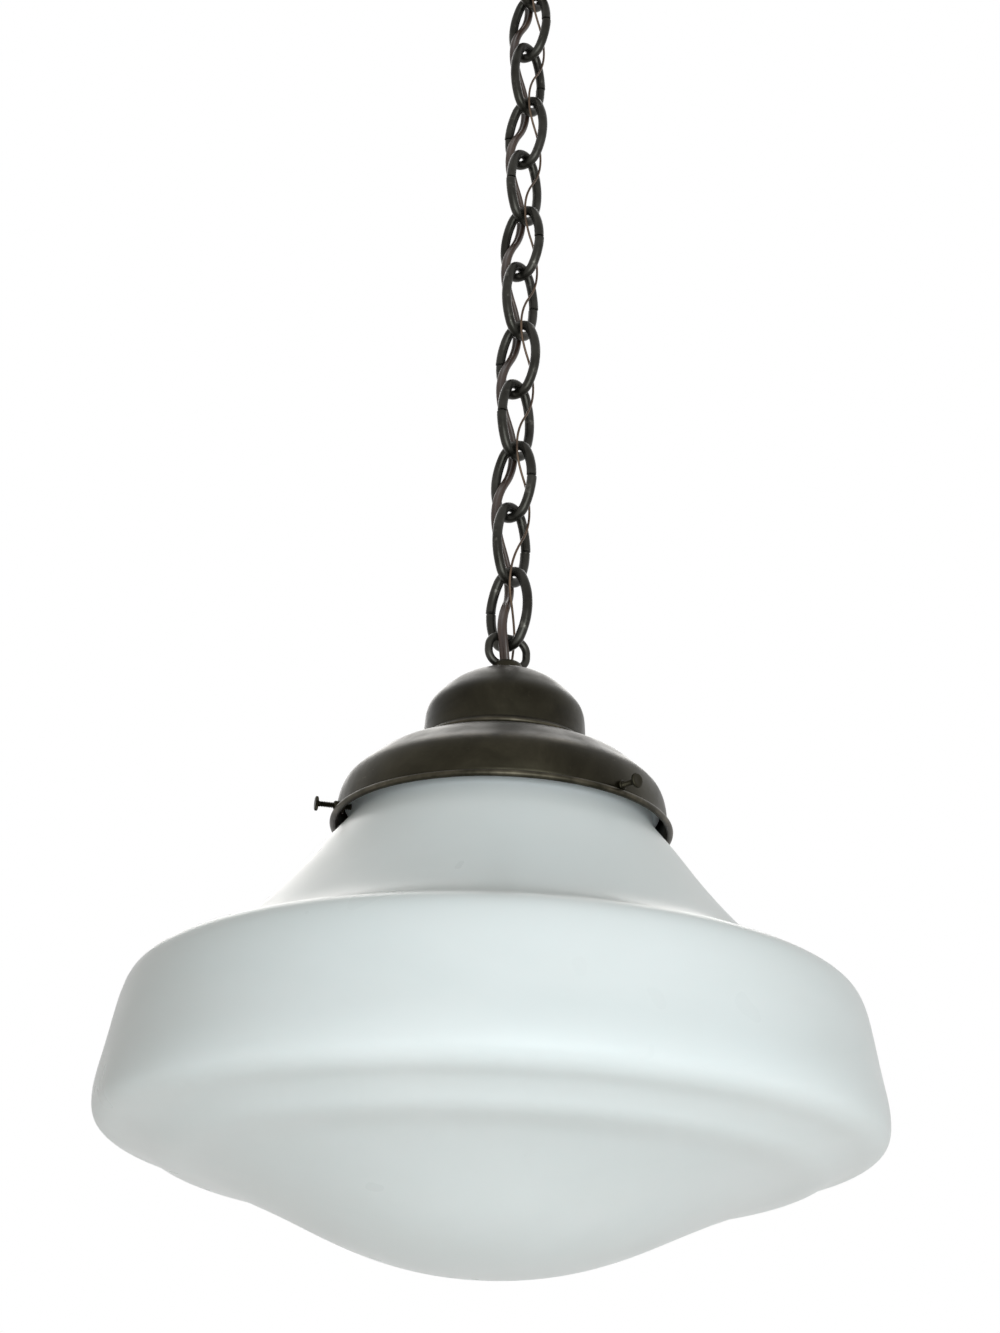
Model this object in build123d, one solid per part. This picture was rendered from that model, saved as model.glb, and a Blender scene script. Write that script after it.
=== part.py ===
from build123d import *
import math
import os

# Schoolhouse pendant light that hangs from a ceiling box on a wire chain.
# Lengths are in millimetres. The origin is the middle of the ceiling plane and +Z is up.

# Fits shared by the pieces
thread_gap = 0.1
slip_gap = 0.3
link_play = 0.3
screw_gap = 0.05

# Chain of bent wire links
link_count = 12
link_wire = 5.0
link_length = 46.0
link_width = 28.0
link_end_radius = 8.5
link_split = 0.5
chain_turn = 141.4

# Cord, ground wire and leads
cord_size = 3.8
ground_size = 1.2
lead_size = 1.8

# Threaded tubes that the cord runs through, and the nuts on them
pipe_bore = cord_size + 3.0
pipe_outer = pipe_bore + 3.5
bushing_wall = 0.4
nut_flats = pipe_outer + 4.7
nut_thick = 3.5

# Ceiling side
strap_length = 112.0
strap_width = 16.0
strap_thick = 1.8
strap_corner = 4.8
box_screw_spacing = 88.9
box_slot_width = 6.5
box_slot_length = 14.0
box_screw_shank = 4.1
box_screw_rise = 16.0
box_screw_head = 8.2
box_screw_head_thick = 2.6
ground_screw_place = 18.0
ground_screw_head = 7.8
ground_screw_length = 9.2
canopy_width = 127.0
canopy_depth = 29.0
canopy_sheet = 1.2
canopy_crown = 34.0
barrel_width = 24.0
barrel_length = 14.0
barrel_rise = 6.0
collar_width = 36.0
collar_height = 5.0
ceiling_loop_wire = 4.6
ceiling_loop_width = 25.6
ceiling_loop_drop = 19.3
ceiling_pipe_rise = 5.0
wire_nut_width = 12.0
wire_nut_height = 18.0
wire_nut_place = 9.6

# Lamp metalwork, with its heights measured up from the rim of the pan
rim_width = 163.0
bead_size = 3.2
pan_sheet = 1.2
pan_wall_width = rim_width - 5.0
pan_top = 41.2
dome_sheet = 1.0
dome_foot_width = 84.4
dome_wall_width = dome_foot_width - 6.4
dome_height = 40.2
eye_wire = 4.0
eye_width = 25.0
eye_corner = 6.4
eye_turn = 28.0
eye_rise = 20.6
hub_height = 6.8
spigot_width = pipe_outer + 2.7
spigot_length = 6.0
hub_width = spigot_width + 2.0
lamp_pipe_bottom = pan_top - 17.2
lamp_pipe_rise = 1.8

# Thumb screws that hold the glass
shade_screw_count = 3
shade_screw_turn = -47.5
shade_screw_height = 5.6
shade_screw_shank = 3.0
shade_screw_head = 6.6
shade_screw_head_thick = 1.6
shade_screw_reach = pan_wall_width / 2.0 + 10.8
boss_width = 4.6
boss_length = 4.8

# Opal glass
glass_wall = 3.0
glass_neck = pan_wall_width - 13.6
glass_lip = glass_neck + 6.4
glass_lip_low = 8.0
glass_lip_top = 15.0
drum_width = 356.0

# Socket
cup_top = pan_top - 13.2
cup_sheet = 1.0
cup_skirt_bottom = cup_top - 20.0
cup_hub_width = pipe_outer + 4.7
cup_ground_place = 13.0
small_screw_shank = 3.0
porcelain_top = cup_top - 16.0
porcelain_bottom = porcelain_top - 39.0
shell_bore = 26.4
shell_sheet = 0.5
shell_depth = 20.5
shell_floor_hole = 14.0
contact_width = 9.0
contact_room = 3.5
porcelain_width = shell_bore + 18.6
socket_screw_place = shell_bore / 2.0 + 5.2
socket_screw_shank = 2.8
terminal_place = 11.0
terminal_shank = 3.0

# Heights worked out from the sizes above
link_pitch = link_length - 2.0 * link_wire - link_play
link_reach = (link_length - link_wire) / 2.0
barrel_top = barrel_rise - canopy_depth
barrel_bottom = barrel_top - barrel_length
ceiling_loop_low = barrel_bottom - ceiling_loop_drop + ceiling_loop_wire / 2.0
first_link = ceiling_loop_low + (ceiling_loop_wire + link_wire) / 2.0 + link_play - link_reach
last_link = first_link - (link_count - 1) * link_pitch
last_link_low = last_link - link_reach
dome_top = pan_top + dome_height
eye_top = dome_top + eye_rise
rim = last_link_low + (link_wire + eye_wire) / 2.0 + link_play - eye_top
shell_low = rim + porcelain_bottom + 1.0
shell_seat = shell_low + shell_depth + shell_sheet
contact_seat = shell_seat + contact_room


def save(name, *solids):
    """Write one named piece, or a group of alike pieces, as a STEP file."""
    kept = []
    for solid in solids:
        kept += list(solid.solids())
    shape = kept[0] if len(kept) == 1 else Compound(children=kept)
    shape.label = name
    export_step(shape, os.path.join("parts", name + ".step"))


def disc(width, low, high, place=(0.0, 0.0)):
    """Upright cylinder between two heights."""
    return Pos(place[0], place[1], (low + high) / 2.0) * Cylinder(width / 2.0, high - low)


def washer(width, hole, low, high):
    """Upright ring between two heights."""
    return disc(width, low, high) - disc(hole, low - 1.0, high + 1.0)


def hexagon(flats, hole, low, high):
    """Hexagon nut between two heights, with its corners rounded off."""
    body = Pos(0, 0, low) * extrude(RegularPolygon(flats / 2.0, 6, major_radius=False), high - low)
    body = body & disc(flats * 1.12, low, high)
    return body - disc(hole, low - 1.0, high + 1.0)


def turned(*edges):
    """Solid of revolution of a closed outline drawn as radius and height."""
    return revolve(Plane.XZ * make_face(edges), Axis.Z)


def outline(points):
    """Straight run through two points, or a smooth curve through more."""
    return Line(*points) if len(points) == 2 else Spline(*points)


def inward(stretches, distance):
    """Points of an outline moved square to it by the wall, on the right of its direction."""
    flat = []
    for stretch in stretches:
        flat += stretch if not flat else stretch[1:]
    moved = []
    for index, (radius, height) in enumerate(flat):
        before = flat[max(index - 1, 0)]
        after = flat[min(index + 1, len(flat) - 1)]
        run = math.hypot(after[0] - before[0], after[1] - before[1])
        across = ((after[1] - before[1]) / run, -(after[0] - before[0]) / run)
        moved.append((radius + across[0] * distance, height + across[1] * distance))
    result = []
    first = 0
    for stretch in stretches:
        last = first + len(stretch) - 1
        result.append(moved[first:last + 1])
        first = last
    return result


def tube(points, width, label=None):
    """Round tube along straight runs joined by arcs as large as the runs allow."""
    corners = [Vector(*point) for point in points]
    radii = []
    for before, corner, after in zip(corners, corners[1:], corners[2:]):
        shorter = min((corner - before).length, (after - corner).length)
        turn = (corner - before).get_angle(after - corner)
        radii.append(0.45 * shorter / math.tan(math.radians(turn / 2.0)))
    path = FilletPolyline(*corners, radius=radii) if len(radii) > 1 else FilletPolyline(*corners, radius=radii[0])
    section = Plane(origin=path @ 0, z_dir=path % 0) * Circle(width / 2.0)
    solid = sweep(section, path)
    if label:
        expected = math.pi * width ** 2 / 4.0 * path.length
        print(label, "length", round(path.length, 1), "volume ratio", round(solid.volume / expected, 4))
        print("  radii", [round(radius, 1) for radius in radii])
    return solid


def wire_loop(width, wire, end, crown, corner, turn):
    """Squared wire loop from a hub at one height to its crown at another, in one upright plane."""
    half = (width - wire) / 2.0
    start = half * 0.08
    path = FilletPolyline((-start, 0, end), (-half, 0, end), (-half, 0, crown), (half, 0, crown),
                          (half, 0, end), (start, 0, end), radius=corner)
    section = Plane(origin=path @ 0, z_dir=path % 0) * Circle(wire / 2.0)
    return Rot(0, 0, turn) * sweep(section, path)


# Chain

def wire_link(split_side):
    """One oval link of bent wire, split in the middle of a long side."""
    end_centre = link_reach - link_end_radius
    half_width = (link_width - link_wire) / 2.0
    bulge = half_width - link_end_radius
    side_centre = (end_centre ** 2 - bulge ** 2) / (2.0 * bulge)
    side_radius = half_width + side_centre
    lean = math.atan2(end_centre, side_centre)
    join_x = link_end_radius * math.cos(lean)
    join_z = end_centre + link_end_radius * math.sin(lean)
    gap = math.asin(link_split / 2.0 / side_radius)

    def on_side(angle):
        return side_radius * math.cos(angle) - side_centre, side_radius * math.sin(angle)

    def on_link(x, z):
        return split_side * x, 0, z

    split_high = on_side(gap)
    half_high = on_side((gap + lean) / 2.0)
    path = Wire([
        ThreePointArc(on_link(*split_high), on_link(*half_high), on_link(join_x, join_z)),
        ThreePointArc(on_link(join_x, join_z), on_link(0, link_reach), on_link(-join_x, join_z)),
        ThreePointArc(on_link(-join_x, join_z), on_link(-half_width, 0), on_link(-join_x, -join_z)),
        ThreePointArc(on_link(-join_x, -join_z), on_link(0, -link_reach), on_link(join_x, -join_z)),
        ThreePointArc(on_link(join_x, -join_z), on_link(half_high[0], -half_high[1]),
                      on_link(split_high[0], -split_high[1])),
    ])
    section = Plane(origin=path @ 0, z_dir=path % 0) * Circle(link_wire / 2.0)
    return sweep(section, path)


def make_chain():
    for number in range(1, link_count + 1):
        turn = chain_turn + 90.0 * ((link_count - number) % 2)
        split_side = 1 if number % 4 < 2 else -1
        place = Pos(0, 0, first_link - (number - 1) * link_pitch) * Rot(0, 0, turn)
        save("link_%02d" % number, place * wire_link(split_side))


# Ceiling side

def make_mounting_strap():
    strap = Pos(0, 0, -strap_thick / 2.0) * Box(strap_length, strap_width, strap_thick)
    strap = fillet(strap.edges().filter_by(Axis.Z), strap_corner)
    strap -= disc(pipe_outer + 2.0 * thread_gap, -strap_thick - 1.0, 1.0)
    slot = extrude(SlotOverall(box_slot_length, box_slot_width), strap_thick + 2.0)
    for side in (-1, 1):
        strap -= Pos(side * box_screw_spacing / 2.0, 0, -strap_thick - 1.0) * slot
    strap -= disc(box_screw_shank + 2.0 * thread_gap, -strap_thick - 1.0, 1.0, (ground_screw_place, 0))
    save("mounting_strap", strap)


def pan_head_screw(shank, head, head_thick, length, drive=1.0):
    """Slotted screw that points down from a head standing on height zero."""
    cap = disc(head, 0.0, head_thick)
    cap = fillet(cap.edges().group_by(Axis.Z)[-1], head_thick * 0.45)
    cap -= Pos(0, 0, head_thick) * Box(head * 1.2, drive, head_thick)
    return cap + disc(shank, -length, 0.0)


def make_strap_screws():
    length = box_screw_rise + strap_thick
    screw = pan_head_screw(box_screw_shank, box_screw_head, box_screw_head_thick, length)
    screw = Pos(0, 0, -strap_thick) * Rot(180, 0, 0) * screw
    save("strap_screws", *[Pos(side * box_screw_spacing / 2.0, 0, 0) * screw for side in (-1, 1)])


def make_ground_screw():
    screw = pan_head_screw(box_screw_shank, ground_screw_head, 2.4, ground_screw_length)
    save("ground_screw", Pos(ground_screw_place, 0, ground_size + screw_gap) * screw)


def make_ceiling_pipe():
    """Threaded tube from the strap into the loop's barrel, with a nut on each side of the strap."""
    low = barrel_top - 6.0
    save("canopy_nipple", washer(pipe_outer, pipe_bore, low, ceiling_pipe_rise))
    hole = pipe_outer + 2.0 * thread_gap
    upper = hexagon(nut_flats, hole, 0.0, nut_thick)
    lower = hexagon(nut_flats, hole, -strap_thick - nut_thick, -strap_thick)
    save("nipple_locknuts", upper, lower)


def make_canopy():
    """Bell-shaped cover with a rolled rim, open to the ceiling."""
    rim_radius = canopy_width / 2.0
    crown_radius = canopy_crown / 2.0
    hole_radius = barrel_width / 2.0 + slip_gap
    side = [(rim_radius, 0.0), (rim_radius - 1.2, -4.5), (rim_radius * 0.885, -canopy_depth * 0.42),
            (rim_radius * 0.66, -canopy_depth * 0.64), (rim_radius * 0.42, -canopy_depth * 0.84),
            (crown_radius, -canopy_depth)]
    crown = [side[-1], (hole_radius, -canopy_depth)]
    inner_side, inner_crown = inward([side, crown], canopy_sheet)
    inner_side[0] = (rim_radius - canopy_sheet, 0.0)
    inner_crown[-1] = (hole_radius, canopy_sheet - canopy_depth)
    save("canopy", turned(outline(side), outline(crown), Line(crown[-1], inner_crown[-1]),
                          outline(inner_crown), outline(inner_side), Line(side[0], inner_side[0])))


def make_collar_ring():
    top = -canopy_depth
    ring = washer(collar_width, barrel_width + 2.0 * thread_gap, top - collar_height, top)
    low_outer = ring.edges().group_by(Axis.Z)[0].sort_by(SortBy.LENGTH)[-1]
    ring = fillet(low_outer, collar_height * 0.5)
    for turn in range(0, 360, 30):
        ring -= Rot(0, 0, turn) * disc(2.2, top - collar_height - 1.0, top - 1.0, (collar_width / 2.0 + 0.4, 0))
    save("collar_ring", ring)


def make_canopy_loop():
    """Threaded barrel with the loop under it, bored through for the cord."""
    barrel = disc(barrel_width, barrel_bottom, barrel_top)
    barrel = fillet(barrel.edges().group_by(Axis.Z)[0], 3.0)
    end = barrel_bottom + ceiling_loop_wire * 0.4
    loop = barrel + wire_loop(ceiling_loop_width, ceiling_loop_wire, end, ceiling_loop_low, 7.4, chain_turn)
    loop -= disc(pipe_outer + 2.0 * thread_gap, barrel_top - 6.0, barrel_top + 1.0)
    loop -= disc(pipe_bore + 2.0, barrel_bottom - 5.0, barrel_top)
    mouth = Pos(0, 0, barrel_bottom + 0.5) * Cone(7.4, pipe_bore / 2.0 + 1.0, 5.0)
    save("canopy_loop", loop - mouth)


# Lamp metalwork

def lifted(stretches):
    """Outline points moved from the rim of the pan to their height under the ceiling."""
    return [[(radius, height + rim) for radius, height in stretch] for stretch in stretches]


def shade_screw_places():
    return [shade_screw_turn + 360.0 / shade_screw_count * index for index in range(shade_screw_count)]


def lying(width, start, end, turn):
    """Cylinder that lies along a radius of the pan at the height of the thumb screws."""
    body = Rot(0, 90, 0) * Cylinder(width / 2.0, end - start)
    return Rot(0, 0, turn) * Pos((start + end) / 2.0, 0, rim + shade_screw_height) * body


def make_shade_holder():
    """Pan with a rolled bead, a groove, a shoulder and a flat top."""
    wall = pan_wall_width / 2.0
    hole = pipe_outer / 2.0 + thread_gap
    foot = dome_foot_width / 2.0

    def at(share):
        return foot + share * (wall - foot)

    side = [(wall - 0.4, bead_size), (wall - 0.5, pan_top * 0.223), (at(0.902), pan_top * 0.488),
            (at(0.712), pan_top * 0.655), (at(0.527), pan_top * 0.794), (at(0.217), pan_top * 0.925),
            (foot - 1.0, pan_top)]
    top = [side[-1], (hole, pan_top)]
    outer_side, outer_top = lifted([side, top])
    inner_side, inner_top = inward([outer_side, outer_top], -pan_sheet)
    inner_side[0] = (outer_side[0][0] - pan_sheet, outer_side[0][1])
    inner_top[-1] = (hole, rim + pan_top - pan_sheet)
    holder = turned(outline(outer_side), outline(outer_top), Line(outer_top[-1], inner_top[-1]),
                    outline(inner_top), outline(inner_side), Line(outer_side[0], inner_side[0]))
    bead_centre = (rim_width - bead_size) / 2.0
    bead = Pos(0, 0, rim + bead_size / 2.0) * Torus(bead_centre, bead_size / 2.0)
    neck_low = rim + bead_size * 0.5
    neck = turned(*Polyline((wall - 0.2, neck_low), (wall - 0.2, rim + bead_size + 0.2),
                            (outer_side[0][0] - pan_sheet, rim + bead_size + 0.2),
                            (outer_side[0][0] - pan_sheet, neck_low), close=True).edges())
    holder = holder + bead + neck
    for turn in shade_screw_places():
        holder -= lying(boss_width + 2.0 * screw_gap, wall - 6.0, wall + 4.0, turn)
    save("shade_holder", holder)


def make_screw_bosses():
    wall = pan_wall_width / 2.0
    bosses = []
    for turn in shade_screw_places():
        boss = lying(boss_width, wall - 3.0, wall - 3.0 + boss_length, turn)
        flange = lying(boss_width + 2.4, wall - 3.0, wall - 2.2, turn)
        bore = lying(shade_screw_shank + 2.0 * screw_gap, wall - 8.0, wall + 8.0, turn)
        bosses.append(boss + flange - bore)
    save("screw_bosses", *bosses)


def make_shade_screws():
    tip = glass_neck / 2.0 + slip_gap
    for number, turn in enumerate(shade_screw_places(), start=1):
        neck = shade_screw_reach - shade_screw_head_thick
        shank = lying(shade_screw_shank, tip, neck, turn)
        head = lying(shade_screw_head, neck, shade_screw_reach, turn)
        save("shade_screw_%d" % number, shank + head)


def make_dome_cap():
    """Deep cap with a curled foot that stands on the pan."""
    foot = dome_foot_width / 2.0
    wall = dome_wall_width / 2.0
    hole = spigot_width / 2.0 + thread_gap
    crown = hub_width / 2.0 + 1.0

    def at(share, rise):
        return crown + share * (wall - crown), pan_top + rise * dome_height

    curl = [(foot - 2.6, pan_top), (foot, pan_top + 1.6), (foot - 2.2, pan_top + 4.0),
            (wall + 0.4, pan_top + 5.4)]
    side = [curl[-1], at(0.997, 0.299), at(0.948, 0.535), at(0.774, 0.711), at(0.551, 0.861),
            at(0.259, 0.978), (crown, dome_top)]
    top = [side[-1], (hole, dome_top)]
    curl, side, top = lifted([curl, side, top])
    inner_curl, inner_side, inner_top = inward([curl, side, top], -dome_sheet)
    inner_curl[0] = (curl[0][0] - 2.0 * dome_sheet, curl[0][1])
    inner_top[-1] = (hole, rim + dome_top - dome_sheet)
    save("dome_cap", turned(outline(curl), outline(side), outline(top), Line(top[-1], inner_top[-1]),
                            outline(inner_top), outline(inner_side), outline(inner_curl),
                            Line(curl[0], inner_curl[0])))


def make_top_loop():
    """Squared eye on a threaded hub that stands on the cap."""
    low = rim + dome_top
    hub = disc(hub_width, low, low + hub_height)
    hub += disc(spigot_width, low - spigot_length, low)
    end = low + hub_height - eye_wire * 0.2
    loop = hub + wire_loop(eye_width, eye_wire, end, rim + eye_top, eye_corner, eye_turn)
    bore = pipe_outer + 2.0 * thread_gap
    loop -= disc(bore, low - spigot_length - 1.0, low + hub_height + 4.0)
    mouth = Pos(0, 0, low + hub_height - 0.5) * Cone(bore / 2.0, hub_width / 2.0 - 0.5, 4.0)
    save("top_loop", loop - mouth)


def make_lamp_pipe():
    """Threaded tube down the middle of the lamp, with the washer, nut and bushing on it."""
    hole = pipe_outer + 2.0 * thread_gap
    plate = rim + pan_top - pan_sheet
    pipe_top = rim + dome_top + lamp_pipe_rise
    pipe = washer(pipe_outer, pipe_bore, rim + lamp_pipe_bottom, pipe_top)
    pipe -= Pos(0, 0, pipe_top) * Cone(pipe_bore / 2.0 - 0.2, pipe_bore / 2.0 + 1.4, 3.2)
    save("lamp_nipple", pipe)
    save("lock_washer", washer(nut_flats + 3.0, hole, plate - 1.2, plate))
    save("lamp_locknut", hexagon(nut_flats, hole, plate - 1.2 - nut_thick, plate - 1.2))
    hole = pipe_bore - 2.0 * bushing_wall
    bushing = washer(pipe_outer, hole, rim + lamp_pipe_bottom - 1.6, rim + lamp_pipe_bottom)
    bushing += washer(pipe_bore, hole, rim + lamp_pipe_bottom, rim + lamp_pipe_bottom + 3.0)
    save("cord_bushing", bushing)


# Glass

def make_glass_shade():
    """Opal shade: rolled lip, cone, ledge, flaring drum, a soft ring and a shallow bowl."""
    neck = glass_neck / 2.0
    lip = glass_lip / 2.0
    drum = drum_width / 2.0

    def at(share, height):
        return neck + share * (drum - neck), height

    def under(share, height):
        return share * drum, height

    shoulder = [(neck, glass_lip_low), (neck + 0.2, 3.0), at(0.042, -4.0), at(0.095, -10.8), at(0.202, -26.0),
                at(0.33, -43.0), at(0.466, -58.6), at(0.56, -67.2), at(0.679, -73.3), at(0.811, -77.4),
                at(0.905, -85.4), at(0.949, -104.8)]
    lower_drum = [shoulder[-1], under(0.988, -122.0), (drum, -138.5), under(0.992, -145.0), under(0.958, -150.1),
                  under(0.918, -152.5), under(0.888, -154.8), under(0.848, -158.8)]
    bowl = [lower_drum[-1], under(0.812, -161.7), under(0.77, -163.5), under(0.73, -165.3),
            under(0.691, -167.7), under(0.607, -173.6), under(0.517, -180.6), under(0.404, -189.7),
            under(0.27, -198.2), under(0.135, -203.1), (0.0, -204.4)]
    outer = lifted([shoulder, lower_drum, bowl])
    inner = inward(outer, glass_wall)
    inner[0][0] = (neck - glass_wall, rim + glass_lip_low)
    inner[-1][-1] = (0.0, outer[-1][-1][1] + glass_wall)
    lip_mid = rim + (glass_lip_low + glass_lip_top) / 2.0
    lip_top = (neck - 0.8, rim + glass_lip_top)
    lip_inner = (neck - glass_wall, rim + glass_lip_top - 2.4)
    edges = [Spline(outer[0][0], (lip, lip_mid), lip_top, lip_inner,
                    tangents=[(1, 0.4), (0, -1)]), Line(lip_inner, inner[0][0])]
    edges += [outline(stretch) for stretch in outer + inner]
    edges.append(Line(outer[-1][-1], inner[-1][-1]))
    save("glass_shade", turned(*edges))


# Socket

def make_socket_cap():
    """Cup with a threaded hub that carries the porcelain."""
    width = porcelain_width + 2.0 * (cup_sheet + thread_gap)
    cup = disc(width, rim + cup_skirt_bottom, rim + cup_top)
    cup = fillet(cup.edges().group_by(Axis.Z)[-1], 4.0)
    room = disc(width - 2.0 * cup_sheet, rim + cup_skirt_bottom - 1.0, rim + cup_top - cup_sheet)
    cup -= fillet(room.edges().group_by(Axis.Z)[-1], 3.0)
    cup += disc(cup_hub_width, rim + lamp_pipe_bottom + 1.0, rim + cup_top + 6.0)
    cup -= disc(pipe_outer + 2.0 * thread_gap, rim + cup_skirt_bottom, rim + cup_top + 8.0)
    cup -= set_screw(thread_gap)
    ground_hole = small_screw_shank + 2.0 * thread_gap
    cup -= disc(ground_hole, rim + cup_top - 2.0, rim + cup_top + 1.0, (0, cup_ground_place))
    for side in (-1, 1):
        hole = socket_screw_shank + 2.0 * slip_gap
        cup -= disc(hole, rim + cup_top - 2.0, rim + cup_top + 1.0, (0, side * socket_screw_place))
    save("socket_cap", cup)


def set_screw(gap=0.0):
    body = Rot(0, 90, 0) * Cylinder(small_screw_shank / 2.0 + gap, (cup_hub_width - pipe_outer) / 2.0 + 2.0)
    middle = (cup_hub_width / 2.0 + 2.0 + pipe_outer / 2.0) / 2.0
    return Rot(0, 0, -90) * Pos(middle, 0, rim + cup_top + 3.2) * body


def make_small_socket_screws():
    save("cap_set_screw", set_screw())
    ground = pan_head_screw(small_screw_shank, 2.0 * small_screw_shank, 1.8, 4.0)
    low = rim + cup_top - cup_sheet - ground_size - 4.0 * screw_gap
    save("cap_ground_screw", Pos(0, cup_ground_place, low) * Rot(180, 0, 0) * ground)


def make_socket_body():
    """Porcelain body with the recess for the threaded shell."""
    recess = shell_bore + 2.0 * (shell_sheet + thread_gap)
    low = rim + porcelain_bottom
    top = rim + porcelain_top
    body = disc(porcelain_width, low, top)
    body = fillet(body.edges().group_by(Axis.Z)[-1], 1.5)
    body = fillet(body.edges().group_by(Axis.Z)[0], 2.5)
    body -= disc(recess, low - 1.0, shell_seat)
    body -= disc(contact_width + 2.0 * slip_gap, shell_seat - 1.0, contact_seat)
    for side in (-1, 1):
        place = (0, side * socket_screw_place)
        body -= disc(socket_screw_shank + 0.4, low - 1.0, top + 1.0, place)
        body -= disc(2.0 * socket_screw_shank + 0.6, low - 1.0, low + 4.0, place)
        body -= disc(terminal_shank + 2.0 * thread_gap, contact_seat + 4.0, top + 1.0, (side * terminal_place, 0))
    save("socket_body", body)


def make_socket_screws():
    low = rim + porcelain_bottom + 4.0
    length = rim + cup_top + 1.0 - low
    screw = pan_head_screw(socket_screw_shank, 2.0 * socket_screw_shank, 2.0, length)
    screw = Pos(0, 0, low) * Rot(180, 0, 0) * screw
    save("socket_screws", *[Pos(0, side * socket_screw_place, 0) * screw for side in (-1, 1)])


def make_terminal_screws():
    screw = pan_head_screw(terminal_shank, 6.4, 1.8, lead_size + 6.0)
    height = rim + porcelain_top + lead_size + screw_gap
    save("terminal_screws", *[Pos(side * terminal_place, 0, height) * screw for side in (-1, 1)])


def make_screw_shell():
    """Brass shell with a holed floor against the porcelain."""
    shell = disc(shell_bore + 2.0 * shell_sheet, shell_low, shell_seat)
    shell -= disc(shell_bore, shell_low - 1.0, shell_low + shell_depth)
    save("screw_shell", shell - disc(shell_floor_hole, shell_low, shell_seat + 1.0))


def make_centre_contact():
    """Contact in its own recess above the hole in the shell's floor."""
    plate = disc(contact_width, contact_seat - 0.6, contact_seat)
    tip = disc(contact_width * 0.55, contact_seat - contact_room + slip_gap, contact_seat)
    save("centre_contact", plate + tip)


# Cord, ground wire and their ends

def on_chain(side, sway, height):
    """Point beside the chain: side runs along the lowest link's plane, sway runs across it."""
    turn = math.radians(chain_turn)
    return (side * math.cos(turn) + sway * math.sin(turn), side * math.sin(turn) - sway * math.cos(turn), height)


def between_links(weave):
    """Corners of a route at the gaps between the links, from its side and sway in half link widths."""
    half = link_width / 2.0
    heights = [first_link - (gap + 0.5) * link_pitch for gap in range(len(weave))]
    return [(side * half, sway * half, height) for (side, sway), height in zip(weave, heights)]


# Side and sway of each route where it passes from link to link, in half link widths
cord_weave = [(0.415, 0.857), (0.42, -0.857), (0.41, 0.864), (0.415, -0.85), (0.42, 0.857), (0.41, -0.857),
              (0.415, 0.85), (0.42, -0.864), (0.41, 0.857), (0.415, -0.857), (0.528, 0.857)]
ground_weave = [(-0.43, -0.857), (-0.422, 0.857), (-0.436, -0.864), (-0.43, 0.85), (-0.422, -0.857),
                (-0.436, 0.857), (-0.43, -0.85), (-0.422, 0.864), (-0.436, -0.857), (-0.43, 0.857),
                (-0.486, -0.857)]

# Side, sway and height of each corner of the routes
eye_height = rim + eye_top
crown_height = rim + dome_top
pipe_height = rim + lamp_pipe_bottom
cord_route = ([(1.1, 0.0, 6.0), (1.1, 0.0, -15.0), (1.1, -0.2, barrel_bottom),
               (6.6, -11.0, ceiling_loop_low - 2.0)] + between_links(cord_weave)
              + [(-1.5, -8.0, last_link - 8.4), (-2.6, -6.2, eye_height - 8.2), (0.0, -0.4, crown_height - 1.1),
                 (0.1, -1.1, crown_height - 11.1), (0.2, -0.9, pipe_height + 21.8), (0.2, -0.9, pipe_height - 2.2)])
ground_route = ([(-1.9, 0.0, -15.0), (-1.9, 0.3, barrel_bottom), (-6.2, 10.8, ceiling_loop_low - 2.0)]
                + between_links(ground_weave)
                + [(1.0, 7.0, last_link - 9.9), (1.6, 6.0, eye_height - 8.2), (-0.2, 1.85, crown_height - 2.1),
                   (-0.3, 2.0, crown_height - 19.6), (-0.2, 2.1, pipe_height + 18.8)])

# Ends of the ground wire at its two screws, along X, Y and Z
cup_height = rim + cup_top
ground_top = [(20.0, 2.8, 0.6), (13.5, 2.8, 0.6), (10.5, 2.2, 6.0), (6.2, 0.8, 12.0), (1.6, -1.1, 9.5),
              (1.5, -1.2, -1.0)]
ground_low = [(1.5, 1.5, pipe_height + 0.3), (1.6, 1.6, pipe_height - 4.7), (1.8, 3.6, pipe_height - 8.8),
              (2.1, 7.4, pipe_height - 9.0), (2.3, 9.5, pipe_height - 4.8), (2.3, 8.9, cup_height - 1.6),
              (2.3, 15.6, cup_height - 1.6)]


def make_cords():
    cord = [on_chain(*point) for point in cord_route]
    ground = ground_top + [on_chain(*point) for point in ground_route] + ground_low
    save("lamp_cord", tube(cord, cord_size, "lamp_cord"))
    save("ground_wire", tube(ground, ground_size, "ground_wire"))


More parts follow.
